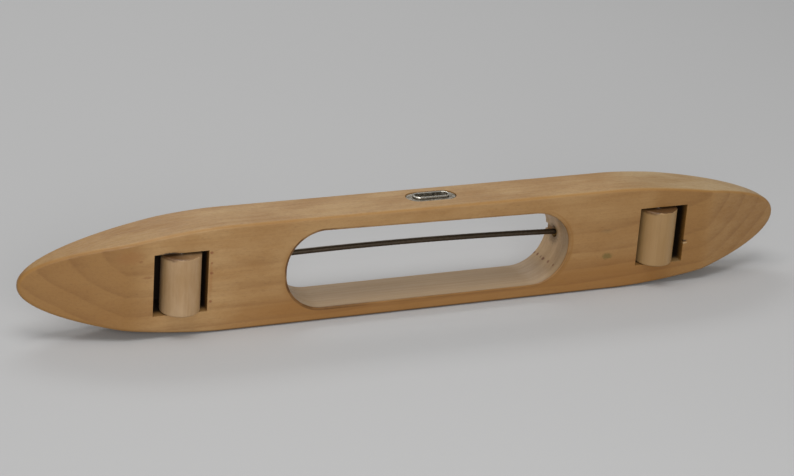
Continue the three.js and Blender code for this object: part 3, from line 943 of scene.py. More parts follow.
@dataclass(frozen=True)
class RollerWood:
    """Pale turned wood of the rollers, whose grain runs along their axis, darkened at their upper ends by
    painted shade and grime.
    """

    pale: Colour = srgb(180, 149, 112)
    warm: Colour = srgb(164, 130, 88)
    yellow: Colour = srgb(154, 120, 72)
    streak: Colour = srgb(132, 98, 60)
    # Painted shade and grime at the rollers' upper ends, darkest at the left where the pocket's wall shades
    # them.
    band: Colour = srgb(86, 56, 28)
    middle: float = 119.9
    relief: float = 0.02 * MM
    streak_strength: float = 0.2
    fleck_strength: float = 0.14
    raggedness: float = 1.2
    yellowed: float = 0.75
    right_grime_and_shade: float = 0.92
    roughness: tuple[float, float] = (0.38, 0.52)

    # Turns as in BoatWood, in millimetres. END_BAND and the height turn of the painted shade and grime at
    # the left of each top are heights from the upper ends.
    LEFT_TO_RIGHT = (-40.0, 40.0)
    LEFT_GRIME_AND_SHADE = (-117.0, -126.0, 0.5, 0.95)
    END_BAND = (0.15, 0.35)
    SHADE_AND_GRIME_HEIGHT = (-1.2, -0.2)
    SHADE_AND_GRIME_ALONG = (-3.0, -7.0, 0.0, 0.8)

    def make(self, effects: Effects, top: float) -> Material:
        """Makes the material.

        Args:
            effects: The shared node groups.
            top: Height of the rollers' upper ends, in millimetres.

        Returns:
            The material.
        """
        material, sheet, shader = new_material("roller_wood")
        place = place_in_mm(sheet)
        x, y, z = sheet.split(place)
        streaks, flecks, clouds = sheet.use(effects.fibres, Place=sheet.combine(z, x, y))
        colour = sheet.mix(clouds, self.warm, self.pale)
        colour = sheet.mix(sheet.ramp(x, *self.LEFT_TO_RIGHT, 0.0, self.yellowed), colour, self.yellow)
        colour = sheet.mix(sheet.times(streaks, self.streak_strength), colour, self.streak)
        colour = sheet.mix(sheet.times(flecks, self.fleck_strength), colour, self.streak)
        # Painted shade and grime on the upper ends: a ragged band on the right roller's top and the left
        # roller's left side, and more at the left of each top.
        ragged = sheet.plus(z, sheet.times(sheet.noise(place, 0.5, 3.0), self.raggedness))
        grime_and_shade = sheet.ramp(ragged, *[top + height for height in self.END_BAND])
        on_right = sheet.ramp(x, *self.LEFT_TO_RIGHT, 0.0, self.right_grime_and_shade)
        beside = sheet.math("MAXIMUM", sheet.ramp(x, *self.LEFT_GRIME_AND_SHADE), on_right)
        grime_and_shade = sheet.times(grime_and_shade, beside)
        along = sheet.minus(x, sheet.times(sheet.math("SIGN", x), self.middle))
        top_left_shade_and_grime = sheet.ramp(ragged, *[top + height for height in self.SHADE_AND_GRIME_HEIGHT])
        top_left_shade_and_grime = sheet.times(top_left_shade_and_grime, sheet.ramp(along, *self.SHADE_AND_GRIME_ALONG))
        grime_and_shade = sheet.math("MAXIMUM", grime_and_shade, top_left_shade_and_grime)
        colour = sheet.mix(grime_and_shade, colour, self.band)
        roughness = sheet.ramp(streaks, 0.0, 1.0, *self.roughness)
        finish(sheet, shader, colour, roughness, sheet.minus(1.0, streaks), self.relief)
        return material


@dataclass(frozen=True)
class WornMetal:
    """A metal with fine scratches and dull patches."""

    name: str
    clean: Colour
    dull: Colour
    smooth: float
    rough: float
    relief: float = 0.006 * MM
    metallic: float = 1.0

    def make(self, effects: Effects) -> Material:
        """Makes the material.

        Args:
            effects: The shared node groups.

        Returns:
            The material.
        """
        material, sheet, shader = new_material(self.name)
        scratches, dull = sheet.use(effects.wear, Place=place_in_mm(sheet))
        colour = sheet.mix(dull, self.clean, self.dull)
        roughness = sheet.ramp(sheet.math("MAXIMUM", dull, scratches), 0.0, 1.0, self.smooth, self.rough)
        shader.inputs["Metallic"].default_value = self.metallic
        finish(sheet, shader, colour, roughness, sheet.minus(1.0, scratches), self.relief)
        return material


SPINDLE_STEEL = WornMetal(
    "spindle_steel", srgb(84, 74, 62), srgb(72, 62, 50), 0.36, 0.42, relief=0.002 * MM, metallic=0.9
)
PIN_STEEL = WornMetal("pin_steel", srgb(190, 188, 184), srgb(150, 146, 140), 0.24, 0.42)
CATCH_BRASS = WornMetal("catch_brass", srgb(150, 116, 58), srgb(92, 64, 32), 0.34, 0.55)
EYELET_NICKEL = WornMetal("eyelet_nickel", srgb(212, 208, 198), srgb(170, 164, 152), 0.16, 0.42)
WASHER_PLATE = WornMetal("washer_plate", srgb(178, 172, 160), srgb(110, 102, 88), 0.45, 0.70, 0.05 * MM)


@dataclass(frozen=True)
class StudioFloor:
    """Pale grey paper under the shuttle, painted a little darker away from the middle as a fall-off of
    light.
    """

    middle: Colour = srgb(189, 189, 189)
    far_shaded: Colour = srgb(182, 182, 182)
    reach: float = 900.0

    def make(self) -> Material:
        """Makes the material."""
        material, sheet, shader = new_material("studio_floor")
        place = place_in_mm(sheet)
        # Painted fall-off of light: the paper darkens away from the middle.
        away = sheet.vector("LENGTH", sheet.vector("MULTIPLY", place, (1.0, 0.6, 0.0)))
        cloud = sheet.times(sheet.minus(sheet.noise(place, 0.004, 2.0), 0.5), 0.2)
        share = sheet.math("ADD", sheet.math("DIVIDE", away, self.reach), cloud, clamp=True)
        sheet.put(shader.inputs["Base Color"], sheet.mix(share, self.middle, self.far_shaded))
        shader.inputs["Roughness"].default_value = 0.85
        shader.inputs["Specular IOR Level"].default_value = 0.15
        return material


# Shapes that more than one piece uses


def loft(name: str, rings: Sequence[Sequence[Vector]]) -> Piece:
    """Builds a closed skin from a disc that is drawn out ring by ring.

    Args:
        name: Name of the object.
        rings: Rings of equal count, whose first and last are closed by a face.

    Returns:
        The new mesh object.
    """
    deselect_everything()
    bpy.ops.mesh.primitive_circle_add(vertices=len(rings[0]), radius=MM, fill_type="NGON")
    piece = adopt(name)
    with editing(piece):
        work = bmesh.from_edit_mesh(piece.data)
        layer = work.verts.layers.int.new("station")
        for index, vert in enumerate(work.verts):
            vert[layer] = index
        bmesh.update_edit_mesh(piece.data)
        lay_ring(piece, rings[0])
        for ring in rings[1:]:
            bpy.ops.mesh.extrude_region_move()
            lay_ring(piece, ring)
    point_outwards(piece)
    return piece


def lay_ring(piece: Piece, ring: Sequence[Vector]) -> None:
    """Puts the selected corners on a ring, in edit mode.

    Args:
        piece: The mesh object, whose corners know their stations.
        ring: Place of each station.
    """
    work = bmesh.from_edit_mesh(piece.data)
    layer = work.verts.layers.int["station"]
    for vert in work.verts:
        if vert.select:
            vert.co = ring[vert[layer]]
    bmesh.update_edit_mesh(piece.data)


def disc(middle: Vector, radius: float, sides: int) -> list[Vector]:
    """Gives a round ring of some sides about a line along X."""
    turns = [step / sides * 2 * math.pi for step in range(sides)]
    return [middle + radius * Vector((0, math.cos(turn), math.sin(turn))) for turn in turns]


def rounded_block(name: str, low: Vector, high: Vector, axis: int, radius: float, steps: int) -> Piece:
    """Adds a box whose edges along one axis are rounded.

    Args:
        name: Name of the object.
        low: Lowest corner.
        high: Highest corner.
        axis: Number of the axis that the rounded edges run along.
        radius: Radius of the rounding.
        steps: Faces across each rounding.

    Returns:
        The new mesh object.
    """
    piece = block(name, low, high)
    round_off(piece, lambda edge: runs_along(edge, axis), radius, steps)
    return piece


def runs_along(edge: Edge, axis: int) -> bool:
    """Says whether an edge runs along an axis."""
    return abs((edge.verts[0].co - edge.verts[1].co).normalized()[axis]) > NEARLY_ALONG


def sharp_at(edge: Edge, height: float, axis: int) -> bool:
    """Says whether an edge is a sharp one that lies at a height along an axis."""
    level = all(abs(vert.co[axis] - height) < LEVEL for vert in edge.verts)
    return level and len(edge.link_faces) == 2 and edge.calc_face_angle() > SHARP_ANGLE


# Sub-assemblies


@dataclass
class Boat:
    """The wooden body: one piece with its opening, pockets, holes, slots and seats."""

    length: float = 382 * MM
    width: float = 51 * MM
    bottom: float = -9.75 * MM
    top: float = 14.75 * MM
    edge_radius: float = 1.6 * MM
    edge_share: float = 0.4
    edge_steps: int = 5
    nose_length: float = 92 * MM
    nose_power: float = 1.49
    nose_bluntness: float = 0.455
    nose_steps: int = 32
    bottom_sweep_length: float = 46 * MM
    bottom_sweep_rise: float = 13.6 * MM
    top_sweep_length: float = 67 * MM
    top_sweep_drop: float = 7.8 * MM
    sweep_power: float = 1.1
    opening_length: float = 142 * MM
    opening_width: float = 38.2 * MM
    opening_radius: float = 18.5 * MM
    opening_steps: int = 20
    opening_taper: float = 2.2 * MM
    opening_ease: float = 0.6 * MM
    pocket_x: float = 120.9 * MM
    pocket_length: float = 25.2 * MM
    pocket_width: float = 29.2 * MM
    pocket_depth: float = 18 * MM
    pocket_ease: float = 0.2 * MM
    slot_gap: float = 0.6 * MM
    eye_height: float = 2.6 * MM
    spindle_height: float = 26 * MM
    groove_width: float = 3.1 * MM
    groove_depth: float = 1.1 * MM
    fit: float = 0.3 * MM
    lip: float = 0.5 * MM
    overrun: float = 2 * MM

    def build(self) -> None:
        """Builds the body."""
        self.body = self.blank()
        self.cut_opening()
        self.cut_pockets()
        self.drill()
        self.cut_slots()
        self.cut_eyelet_seats()
        smooth(self.body)

    def dress(self, wood: Material) -> None:
        """Finishes the body and rides it on the boat."""
        seat(self.body, wood, "boat", "body_wood", "body")

    def half_width(self, distance: float) -> float:
        """Gives half the width at a distance from the middle of the length."""
        along = max(0.0, (distance - self.length / 2 + self.nose_length) / self.nose_length)
        return self.width / 2 * max(0.0, 1 - along**self.nose_power) ** self.nose_bluntness

    def faces(self, distance: float) -> tuple[float, float]:
        """Gives the places of the bottom and top faces at a distance from the middle of the length."""
        shares = [
            max(0.0, (distance - self.length / 2 + reach) / reach) ** self.sweep_power
            for reach in (self.bottom_sweep_length, self.top_sweep_length)
        ]
        return self.bottom + self.bottom_sweep_rise * shares[0], self.top - self.top_sweep_drop * shares[1]

    def outline(self) -> list[Vector]:
        """Gives the plan outline from the right tip by the upper wall, as X and Z from the middle."""
        start = self.length / 2 - self.nose_length
        turns = [step / self.nose_steps * math.pi / 2 for step in range(self.nose_steps + 1)]
        places = [start + self.nose_length * math.cos(turn) for turn in turns]
        quarter = [Vector((self.length / 2, 0.0))]
        quarter += [Vector((place, self.half_width(place))) for place in places[1:]]
        upper = quarter + [Vector((-point.x, point.y)) for point in reversed(quarter)]
        lower = [Vector((point.x, -point.y)) for point in reversed(upper[1:-1])]
        return upper + lower

    def ring(self, turn: float, on_top: bool) -> list[Vector]:
        """Gives one ring of the body's skin.

        Args:
            turn: From 0 at a face's rim to 1 at the side wall.
            on_top: Whether the ring is nearer the top face.

        Returns:
            The places of the ring.
        """
        angle = turn * math.pi / 2
        outline = self.outline()
        ring = []
        for index, point in enumerate(outline):
            bottom, top = self.faces(abs(point.x))
            radius = min(self.edge_radius, self.edge_share * (top - bottom))
            lift = radius * (1 - math.cos(angle))
            along = outline[(index + 1) % len(outline)] - outline[index - 1]
            drawn = point - radius * (1 - math.sin(angle)) * Vector((along.y, -along.x)).normalized()
            bottom, top = self.faces(abs(drawn.x))
            ring.append(Vector((drawn.x, top - lift if on_top else bottom + lift, self.width / 2 + drawn.y)))
        return ring

    def blank(self) -> Piece:
        """Builds the body without its holes.

        Returns:
            The closed body.
        """
        turns = [step / self.edge_steps for step in range(self.edge_steps + 1)]
        rings = [self.ring(turn, False) for turn in turns]
        rings += [self.ring(turn, True) for turn in reversed(turns)]
        body = loft("boat_body", rings)
        places = sorted({round(point.x, 7) for point in rings[0]})[1:-1]
        with editing(body):
            for way, sweep in ((-1, self.bottom_sweep_length), (1, self.top_sweep_length)):
                swept = [place for place in places if abs(place) > self.length / 2 - sweep]
                for place in swept:
                    pick(body, Part.FACE, lambda face: self.is_swept_face(face, way))
                    bpy.ops.mesh.bisect(plane_co=(place, 0, 0), plane_no=(1, 0, 0), threshold=TINY)
        return body

    def is_swept_face(self, face: Face, way: int) -> bool:
        """Says whether a face is part of the bottom face, way -1, or the top face, way 1."""
        heights = [vert.co.z - self.width / 2 for vert in face.verts]
        middle = (self.bottom + self.top) / 2
        across = min(heights) < -TINY and max(heights) > TINY
        return across and (face.calc_center_median().y - middle) * way > 0

    def cut_opening(self) -> None:
        """Cuts the quill opening through and eases both of its rims."""
        places = (self.bottom - self.overrun, self.top + self.overrun)
        cut(self.body, loft("opening", [self.opening_ring(y) for y in places]))
        round_off(self.body, self.is_opening_rim, self.opening_ease, 3)

    def opening_ring(self, y: float) -> list[Vector]:
        """Gives the opening's outline, whose upper side comes nearer the middle to the right.

        Args:
            y: Place through the thickness.

        Returns:
            The places of the ring.
        """
        corner_x = self.opening_length / 2 - self.opening_radius
        corner_z = self.opening_width / 2 - self.opening_radius
        ring = []
        for quarter, (side, way) in enumerate(((1, 1), (-1, 1), (-1, -1), (1, -1))):
            for step in range(self.opening_steps + 1):
                angle = (quarter + step / self.opening_steps) * math.pi / 2
                x = side * corner_x + self.opening_radius * math.cos(angle)
                z = way * corner_z + self.opening_radius * math.sin(angle)
                ring.append(Vector((x, y, self.width / 2 + z * self.opening_share(x, z))))
        return ring

    def opening_share(self, x: float, z: float) -> float:
        """Gives the share of its height that a point of the untapered outline keeps."""
        along = x / self.opening_length + 0.5
        return 1 - along * self.opening_taper / (self.opening_width / 2) if z > 0 else 1.0

    def is_opening_rim(self, edge: Edge) -> bool:
        """Says whether an edge is on a rim of the opening."""
        inside = all(abs(vert.co.x) < self.opening_length / 2 + TINY for vert in edge.verts)
        return inside and (sharp_at(edge, self.bottom, 1) or sharp_at(edge, self.top, 1))

    def cut_pockets(self) -> None:
        """Cuts a pocket for each roller and eases its rim."""
        size = Vector((self.pocket_length / 2, 0, self.pocket_width / 2))
        for side in Side:
            middle = Vector((side.value * self.pocket_x, 0, self.width / 2))
            low = middle - size + Vector((0, self.bottom - self.overrun, 0))
            high = middle + size + Vector((0, self.bottom + self.pocket_depth, 0))
            cut(self.body, block("pocket", low, high))
        round_off(self.body, self.is_pocket_rim, self.pocket_ease, 2)

    def is_pocket_rim(self, edge: Edge) -> bool:
        """Says whether an edge is on the rim of a roller pocket."""
        reach = self.pocket_length / 2 + TINY
        near = all(abs(abs(vert.co.x) - self.pocket_x) < reach for vert in edge.verts)
        low = all(vert.co.y < self.bottom / 2 for vert in edge.verts)
        within = all(abs(vert.co.z - self.width / 2) < self.pocket_width / 2 + TINY for vert in edge.verts)
        level = abs(edge.verts[0].co.y - edge.verts[1].co.y) < MM
        return near and low and within and level and edge.calc_face_angle() > SHARP_ANGLE

    def drill(self) -> None:
        """Drills the holes of both axles and the pivot pin from the lower side wall."""
        for node in ("roller_axle_left", "roller_axle_right", "spindle_pivot_pin"):
            low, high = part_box(node)
            middle = (low + high) / 2
            start = Vector((middle.x, middle.y, -self.overrun))
            radius = (high.x - low.x) / 2 + self.fit
            cut(self.body, upright_bar("hole", start, radius, high.z + self.fit - start.z, 32))

    def cut_slots(self) -> None:
        """Cuts the slot of the spindle's eye, and the hole and the groove at the catch."""
        corner = self.opening_length / 2 - self.opening_radius
        eye_low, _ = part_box("spindle")
        pin_low, pin_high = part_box("spindle_pivot_pin")
        pivot = (pin_low + pin_high) / 2
        back = pivot.x - eye_low.x + self.slot_gap
        half = self.eye_height / 2 + self.slot_gap
        slot_low = Vector((pivot.x - back, pivot.y - back, self.spindle_height - half))
        slot_high = Vector((-corner, self.top + self.overrun, self.spindle_height + half))
        cut(self.body, block("slot", slot_low, slot_high))
        catch_low, catch_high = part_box("spindle_catch")
        middle = (catch_low + catch_high) / 2
        radius = (catch_high.y - catch_low.y) / 2 + self.fit
        ends = [Vector((x, middle.y, middle.z)) for x in (corner, catch_high.x + self.fit)]
        cut(self.body, loft("catch_hole", [disc(end, radius, 48) for end in ends]))
        cut(self.body, self.groove("tip_groove", corner))

    def groove(self, name: str, start: float) -> Piece:
        """Adds the cutter of the groove that the spindle's tip rests in, open to the top face.

        Args:
            name: Name of the object.
            start: Where it starts along X.

        Returns:
            The new mesh object.
        """
        low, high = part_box("spindle_catch")
        middle = (low + high) / 2
        half = self.groove_width / 2
        floor = self.opening_length / 2 + self.groove_depth
        groove_low = Vector((start, middle.y - half, middle.z - half))
        return block(name, groove_low, Vector((floor, self.top + self.overrun, middle.z + half)))

    def cut_eyelet_seats(self) -> None:
        """Cuts the eyelet's slot through the upper wall, and a shallow seat for each washer."""
        barrel_low, barrel_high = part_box("eyelet")
        lip = self.lip - self.fit
        low = Vector((barrel_low.x + lip, barrel_low.y + lip, barrel_low.z - self.overrun))
        high = Vector((barrel_high.x - lip, barrel_high.y - lip, barrel_high.z + self.overrun))
        cut(self.body, self.oblong("eyelet_slot", low, high))
        for wall, node in ((Wall.OUTER, "eyelet_washer_outer"), (Wall.INNER, "eyelet_washer_inner")):
            low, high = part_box(node)
            grown = Vector((self.fit, self.fit, 0))
            low = low - grown
            high = high + grown
            if wall is Wall.OUTER:
                low.z -= self.fit
                high.z += self.overrun
            else:
                low.z -= self.overrun
                high.z += self.fit
            cut(self.body, self.oblong("washer_seat", low, high))

    @staticmethod
    def oblong(name: str, low: Vector, high: Vector) -> Piece:
        """Adds an upright block with half-round ends between two corners."""
        radius = (high.y - low.y) / 2 - 0.02 * MM
        return rounded_block(name, low, high, 2, radius, 10)


@dataclass
class RollerSet:
    """A wooden roller and the steel axle that it turns on."""

    side: Side
    diameter: float = 18.2 * MM
    bore: float = 4.1 * MM
    edge: float = 0.7 * MM
    sides: int = 96
    axle_chamfer: float = 0.4 * MM

    def build(self) -> None:
        """Builds the roller and its axle."""
        label = self.side.name.lower()
        low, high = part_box(f"roller_{label}")
        self.middle = (low + high) / 2
        foot = Vector((self.middle.x, self.middle.y, low.z))
        self.roller = upright_bar(f"{label}_roller", foot, self.diameter / 2, high.z - low.z, self.sides)
        with editing(self.roller):
            pick(self.roller, Part.FACE, lambda face: abs(face.normal.z) > NEARLY_ALONG)
            bpy.ops.mesh.inset(thickness=(self.diameter - self.bore) / 2, depth=0)
            bpy.ops.mesh.bridge_edge_loops()
        round_off(self.roller, self.is_end_rim, self.edge, 4)
        point_outwards(self.roller)
        smooth(self.roller)
        self.axle = build_pin(f"{label}_axle", f"roller_axle_{label}", self.axle_chamfer)

    def is_end_rim(self, edge: Edge) -> bool:
        """Says whether an edge is on the outer rim of an end."""
        away = min((vert.co - self.middle).xy.length for vert in edge.verts)
        return away > self.diameter / 2 * 0.99 and edge.calc_face_angle() > SHARP_ANGLE

    def dress(self, wood: Material, steel: Material) -> None:
        """Finishes the roller and its axle and rides them."""
        label = self.side.name.lower()
        seat(self.roller, wood, f"{label}_roller", "roller_wood", f"roller_{label}")
        seat(self.axle, steel, "boat", "pin_steel", f"roller_axle_{label}")


def build_pin(name: str, node: str, chamfer: float) -> Piece:
    """Builds a steel pin with rounded ends in the place of a plain node.

    Args:
        name: Name of the object.
        node: Name of the plain node.
        chamfer: Radius of its end rims.

    Returns:
        The new mesh object.
    """
    low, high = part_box(node)
    middle = (low + high) / 2
    pin = upright_bar(name, Vector((middle.x, middle.y, low.z)), (high.x - low.x) / 2, high.z - low.z, 40)
    round_off(pin, lambda edge: sharp_at(edge, low.z, 2) or sharp_at(edge, high.z, 2), chamfer, 3)
    smooth(pin)
    return pin


@dataclass
class SpindleSet:
    """The sprung wire spindle, its eye and the pin that it swings on."""

    pivot: Vector = Vector((-78.5 * MM, 10.25 * MM, 26.0 * MM))
    tip: Vector = Vector((71.8 * MM, 5.95 * MM, 26.0 * MM))
    diameter: float = 2.6 * MM
    bow: float = 1.4 * MM
    tip_round: float = 0.5 * MM
    eye_diameter: float = 6.4 * MM
    eye_height: float = 2.6 * MM
    eye_bore: float = 2.5 * MM
    eye_ease: float = 0.4 * MM
    pin_chamfer: float = 0.25 * MM
    stations: int = 40
    sides: int = 28
    tip_steps: int = 5
    look_ahead: float = 0.005

    def build(self) -> None:
        """Builds the spindle and its pin."""
        self.spindle = loft("spindle_wire", self.wire_rings())
        fuse(self.spindle, self.eye())
        hole = upright_bar("eye_bore", self.pivot - Vector((0, 0, 3 * MM)), self.eye_bore / 2, 6 * MM, 32)
        cut(self.spindle, hole)
        smooth(self.spindle)
        self.pin = build_pin("pivot_pin", "spindle_pivot_pin", self.pin_chamfer)

    def dress(self, steel: Material, pin_steel: Material) -> None:
        """Finishes the spindle and its pin and rides them."""
        seat(self.spindle, steel, "spindle", "spindle_steel", "spindle")
        seat(self.pin, pin_steel, "boat", "pin_steel", "spindle_pivot_pin")

    def route(self, share: float) -> Vector:
        """Gives a point on the middle line of the wire, from 0 at the pivot to 1 at the tip."""
        point = self.pivot.lerp(self.tip, share)
        point.z += self.bow * (1 - (2 * share - 1) ** 2)
        return point

    def wire_rings(self) -> list[list[Vector]]:
        """Gives the rings of the wire, which starts inside the eye and ends in a rounded tip."""
        start = (self.eye_bore + self.eye_diameter) / 4 / (self.tip - self.pivot).length
        shares = [start + (1 - start) * step / self.stations for step in range(self.stations + 1)]
        rings = [self.section(share, 1.0, 0.0) for share in shares[:-1]]
        for step in range(self.tip_steps):
            angle = step / self.tip_steps * math.pi / 2
            rings.append(self.section(1.0, math.cos(angle), -self.tip_round * (1 - math.sin(angle))))
        return rings

    def section(self, share: float, scale: float, along: float) -> list[Vector]:
        """Gives one ring of the wire.

        Args:
            share: Place along the wire.
            scale: Share of the wire's full radius.
            along: Extra way along the wire.

        Returns:
            The places of the ring.
        """
        ahead = self.route(min(share + self.look_ahead, 1.0))
        forward = (ahead - self.route(min(share, 1.0 - self.look_ahead))).normalized()
        side = forward.cross(Vector((0, 0, 1))).normalized()
        upward = side.cross(forward)
        middle = self.route(share) + along * forward
        radius = self.diameter / 2 * scale
        turns = [step / self.sides * 2 * math.pi for step in range(self.sides)]
        return [middle + radius * (math.cos(turn) * side + math.sin(turn) * upward) for turn in turns]

    def eye(self) -> Piece:
        """Builds the flat eye at the pivot, with eased rims."""
        foot = self.pivot - Vector((0, 0, self.eye_height / 2))
        eye = upright_bar("eye", foot, self.eye_diameter / 2, self.eye_height, 56)
        round_off(eye, lambda edge: edge.calc_face_angle() > SHARP_ANGLE, self.eye_ease, 3)
        return eye


@dataclass
class Catch:
    """The brass plug in the end wall, whose groove holds the free end of the spindle."""

    chamfer: float = 0.5 * MM
    ease: float = 0.12 * MM
    sharp: float = math.radians(60)
    sides: int = 64

    def build(self, boat: Boat) -> None:
        """Builds the plug and cuts the groove across its front.

        Args:
            boat: The body, whose groove it shares.
        """
        low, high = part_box("spindle_catch")
        middle = (low + high) / 2
        radius = (high.y - low.y) / 2
        profile = [(low.x, radius - self.chamfer), (low.x + self.chamfer, radius)]
        profile += [(high.x - self.chamfer, radius), (high.x, radius - self.chamfer)]
        rings = [disc(Vector((x, middle.y, middle.z)), reach, self.sides) for x, reach in profile]
        self.plug = loft("catch_plug", rings)
        cut(self.plug, boat.groove("plug_groove", low.x - MM))
        round_off(self.plug, lambda edge: edge.calc_face_angle() > self.sharp, self.ease, 2)
        smooth(self.plug)

    def dress(self, brass: Material) -> None:
        """Finishes the plug and rides it."""
        seat(self.plug, brass, "boat", "catch_brass", "spindle_catch")


@dataclass
class Eyelet:
    """The nickel thread eyelet with a washer on each side of the wall."""

    slot_length: float = 16.4 * MM
    slot_width: float = 4.5 * MM
    wall: float = 0.5 * MM
    lip: float = 1.0 * MM
    lip_height: float = 0.9 * MM
    lip_ease: float = 0.4 * MM
    washer_edge: float = 0.25 * MM
    washer_play: float = 0.3 * MM
    arc_steps: int = 16

    def build(self) -> None:
        """Builds the eyelet and both washers."""
        low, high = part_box("eyelet")
        self.middle = (low + high) / 2
        self.barrel = loft("thread_eyelet", self.barrel_rings(low.z, high.z))
        cut(self.barrel, self.hole(0.0, low.z - MM, high.z + MM))
        round_off(
            self.barrel, lambda edge: sharp_at(edge, low.z, 2) or sharp_at(edge, high.z, 2), self.lip_ease, 4
        )
        smooth(self.barrel)
        self.washers = [self.washer("outer"), self.washer("inner")]

    def dress(self, nickel: Material, plate: Material) -> None:
        """Finishes the eyelet and its washers and rides them."""
        seat(self.barrel, nickel, "boat", "eyelet_nickel", "eyelet")
        for washer, place in zip(self.washers, ("outer", "inner")):
            seat(washer, plate, "boat", "washer_steel", f"eyelet_washer_{place}")

    def oblong(self, length: float, width: float, height: float) -> list[Vector]:
        """Gives an oblong ring about the eyelet's middle.

        Args:
            length: Length over its round ends.
            width: Width.
            height: Height of the ring.

        Returns:
            The places of the ring.
        """
        radius = width / 2
        ring = []
        for side in (1, -1):
            for step in range(2 * self.arc_steps + 1):
                angle = (step / self.arc_steps - side) * math.pi / 2
                x = self.middle.x + side * (length / 2 - radius) + radius * math.cos(angle)
                ring.append(Vector((x, self.middle.y + radius * math.sin(angle), height)))
        return ring

    def grown(self, reach: float, height: float) -> list[Vector]:
        """Gives the slot's outline grown by a reach, at a height."""
        return self.oblong(self.slot_length + 2 * reach, self.slot_width + 2 * reach, height)

    def barrel_rings(self, low: float, high: float) -> list[list[Vector]]:
        """Gives the rings of the barrel with its ends rolled out into lips."""
        half = self.lip_height / 2
        core = self.lip - half
        turns = [step / 6 * math.pi - math.pi / 2 for step in range(7)]
        roll = [(core + half * math.cos(turn), half * math.sin(turn)) for turn in turns]
        profile = [(reach, low + half + height) for reach, height in roll]
        profile += [(self.wall, low + self.lip_height), (self.wall, high - self.lip_height)]
        profile += [(reach, high - half + height) for reach, height in roll]
        return [self.grown(reach, height) for reach, height in profile]

    def hole(self, reach: float, low: float, high: float) -> Piece:
        """Builds a cutter of the slot's outline grown by a reach."""
        return loft("eyelet_hole", [self.grown(reach, low), self.grown(reach, high)])

    def washer(self, place: str) -> Piece:
        """Builds one washer.

        Args:
            place: Outer or inner.

        Returns:
            The new mesh object.
        """
        low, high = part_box(f"eyelet_washer_{place}")
        length, width = high.x - low.x, high.y - low.y
        edge = self.washer_edge
        heights = [(2 * edge, low.z), (0.5 * edge, low.z + 0.5 * edge), (0.0, low.z + 1.2 * edge)]
        heights += [(0.0, high.z - 1.2 * edge), (0.5 * edge, high.z - 0.5 * edge), (2 * edge, high.z)]
        rings = [self.oblong(length - 2 * inset, width - 2 * inset, height) for inset, height in heights]
        washer = loft(f"{place}_washer", rings)
        cut(washer, self.hole(self.wall + self.washer_play, low.z - MM, high.z + MM))
        smooth(washer)
        return washer


# The studio


@dataclass(frozen=True)
class SoftBox:
    """A large soft light that looks at a point."""

    name: str
    place: tuple[float, float, float]
    size: tuple[float, float]
    power: float
    aim: tuple[float, float, float] = (0.0, 0.0, 0.02)
    tint: Colour = (1.0, 1.0, 1.0)

    def add(self) -> None:
        """Adds the light."""
        data = bpy.data.lights.new(self.name, "AREA")
        data.shape = "RECTANGLE"
        data.size, data.size_y = self.size
        data.energy = self.power
        data.color = self.tint
        lamp = bpy.data.objects.new(self.name, data)
        lamp.location = self.place
        lamp.rotation_euler = (Vector(self.aim) - Vector(self.place)).to_track_quat("-Z", "Y").to_euler()
        bpy.context.scene.collection.objects.link(lamp)


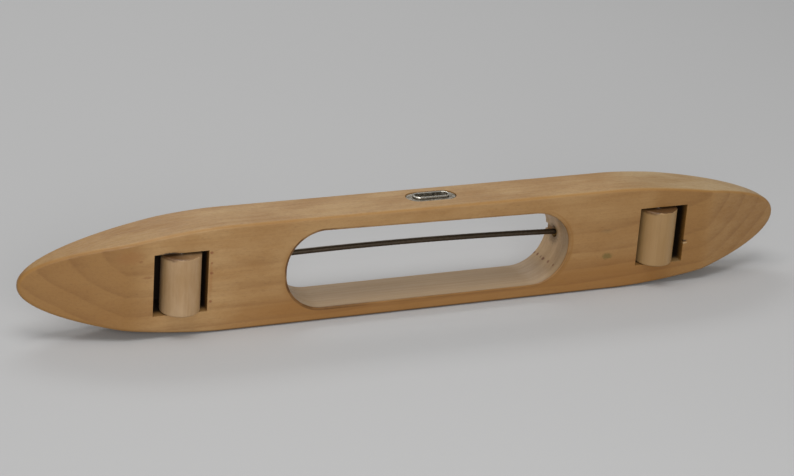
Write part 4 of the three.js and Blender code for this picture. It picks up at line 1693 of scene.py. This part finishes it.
@dataclass
class Studio:
    """The floor, the lights and the camera of the photo."""

    camera_place: Vector = Vector((-0.438383, -0.924146, 0.446196))
    yaw: float = math.radians(24.6804)
    pitch: float = math.radians(22.1063)
    roll: float = math.radians(4.2716)
    focal_pixels: float = 2385.59
    floor_size: float = 12.0
    world_light: float = 0.32

    BOXES = (
        SoftBox("overhead", (-0.25, -0.2, 1.45), (1.0, 0.8), 9.6),
        SoftBox("front_fill", (-0.3, -1.1, 0.42), (0.7, 0.5), 6.4),
        SoftBox("backdrop", (0.1, 1.3, 1.3), (1.2, 0.6), 8.0, (0.1, 1.3, 0.0)),
    )

    def build(self) -> None:
        """Sets up the floor, the world, the lights and the camera."""
        self.lay_floor()
        self.light()
        self.place_camera()

    def lay_floor(self) -> None:
        """Lays the floor under the shuttle."""
        deselect_everything()
        bpy.ops.mesh.primitive_plane_add(size=self.floor_size, location=(0, 0, 0))
        floor = adopt("floor")
        floor.data.materials.append(StudioFloor().make())

    def light(self) -> None:
        """Lights the scene with a pale surround and soft boxes."""
        world = bpy.data.worlds.new("studio")
        world.use_nodes = True
        background = world.node_tree.nodes["Background"]
        background.inputs["Color"].default_value = (1.0, 1.0, 1.0, 1.0)
        background.inputs["Strength"].default_value = self.world_light
        bpy.context.scene.world = world
        for box in self.BOXES:
            box.add()

    def place_camera(self) -> None:
        """Puts the camera where the photo was taken."""
        forward = Vector((
            math.sin(self.yaw) * math.cos(self.pitch),
            math.cos(self.yaw) * math.cos(self.pitch),
            -math.sin(self.pitch),
        ))
        level = Vector((math.cos(self.yaw), -math.sin(self.yaw), 0))
        steep = level.cross(forward)
        right = math.cos(self.roll) * level + math.sin(self.roll) * steep
        upward = -math.sin(self.roll) * level + math.cos(self.roll) * steep
        turned = Matrix((right, upward, -forward)).transposed().to_4x4()
        data = bpy.data.cameras.new("camera")
        data.sensor_width = SENSOR_WIDTH
        data.lens = self.focal_pixels * SENSOR_WIDTH / PHOTO_WIDTH
        data.clip_start = 0.01
        data.clip_end = 50.0
        camera = bpy.data.objects.new("camera", data)
        camera.matrix_world = Matrix.Translation(self.camera_place) @ turned
        bpy.context.scene.collection.objects.link(camera)
        bpy.context.scene.camera = camera


def main() -> None:
    """Builds the dressed shuttle in its studio."""
    logging.basicConfig(level=logging.INFO, format="%(name)s: %(message)s")
    bpy.context.scene.view_settings.view_transform = "Standard"
    Studio().build()
    effects = Effects()
    boat = Boat()
    boat.build()
    boat.dress(BoatWood().make(effects, boat))
    steel = PIN_STEEL.make(effects)
    _, roller_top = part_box("roller_left")
    roller_wood = RollerWood().make(effects, roller_top.z / MM)
    for side in Side:
        rollers = RollerSet(side)
        rollers.build()
        rollers.dress(roller_wood, steel)
    spindle = SpindleSet()
    spindle.build()
    spindle.dress(SPINDLE_STEEL.make(effects), steel)
    catch = Catch()
    catch.build(boat)
    catch.dress(CATCH_BRASS.make(effects))
    eyelet = Eyelet()
    eyelet.build()
    eyelet.dress(EYELET_NICKEL.make(effects), WASHER_PLATE.make(effects))


if __name__ == "__main__":
    main()
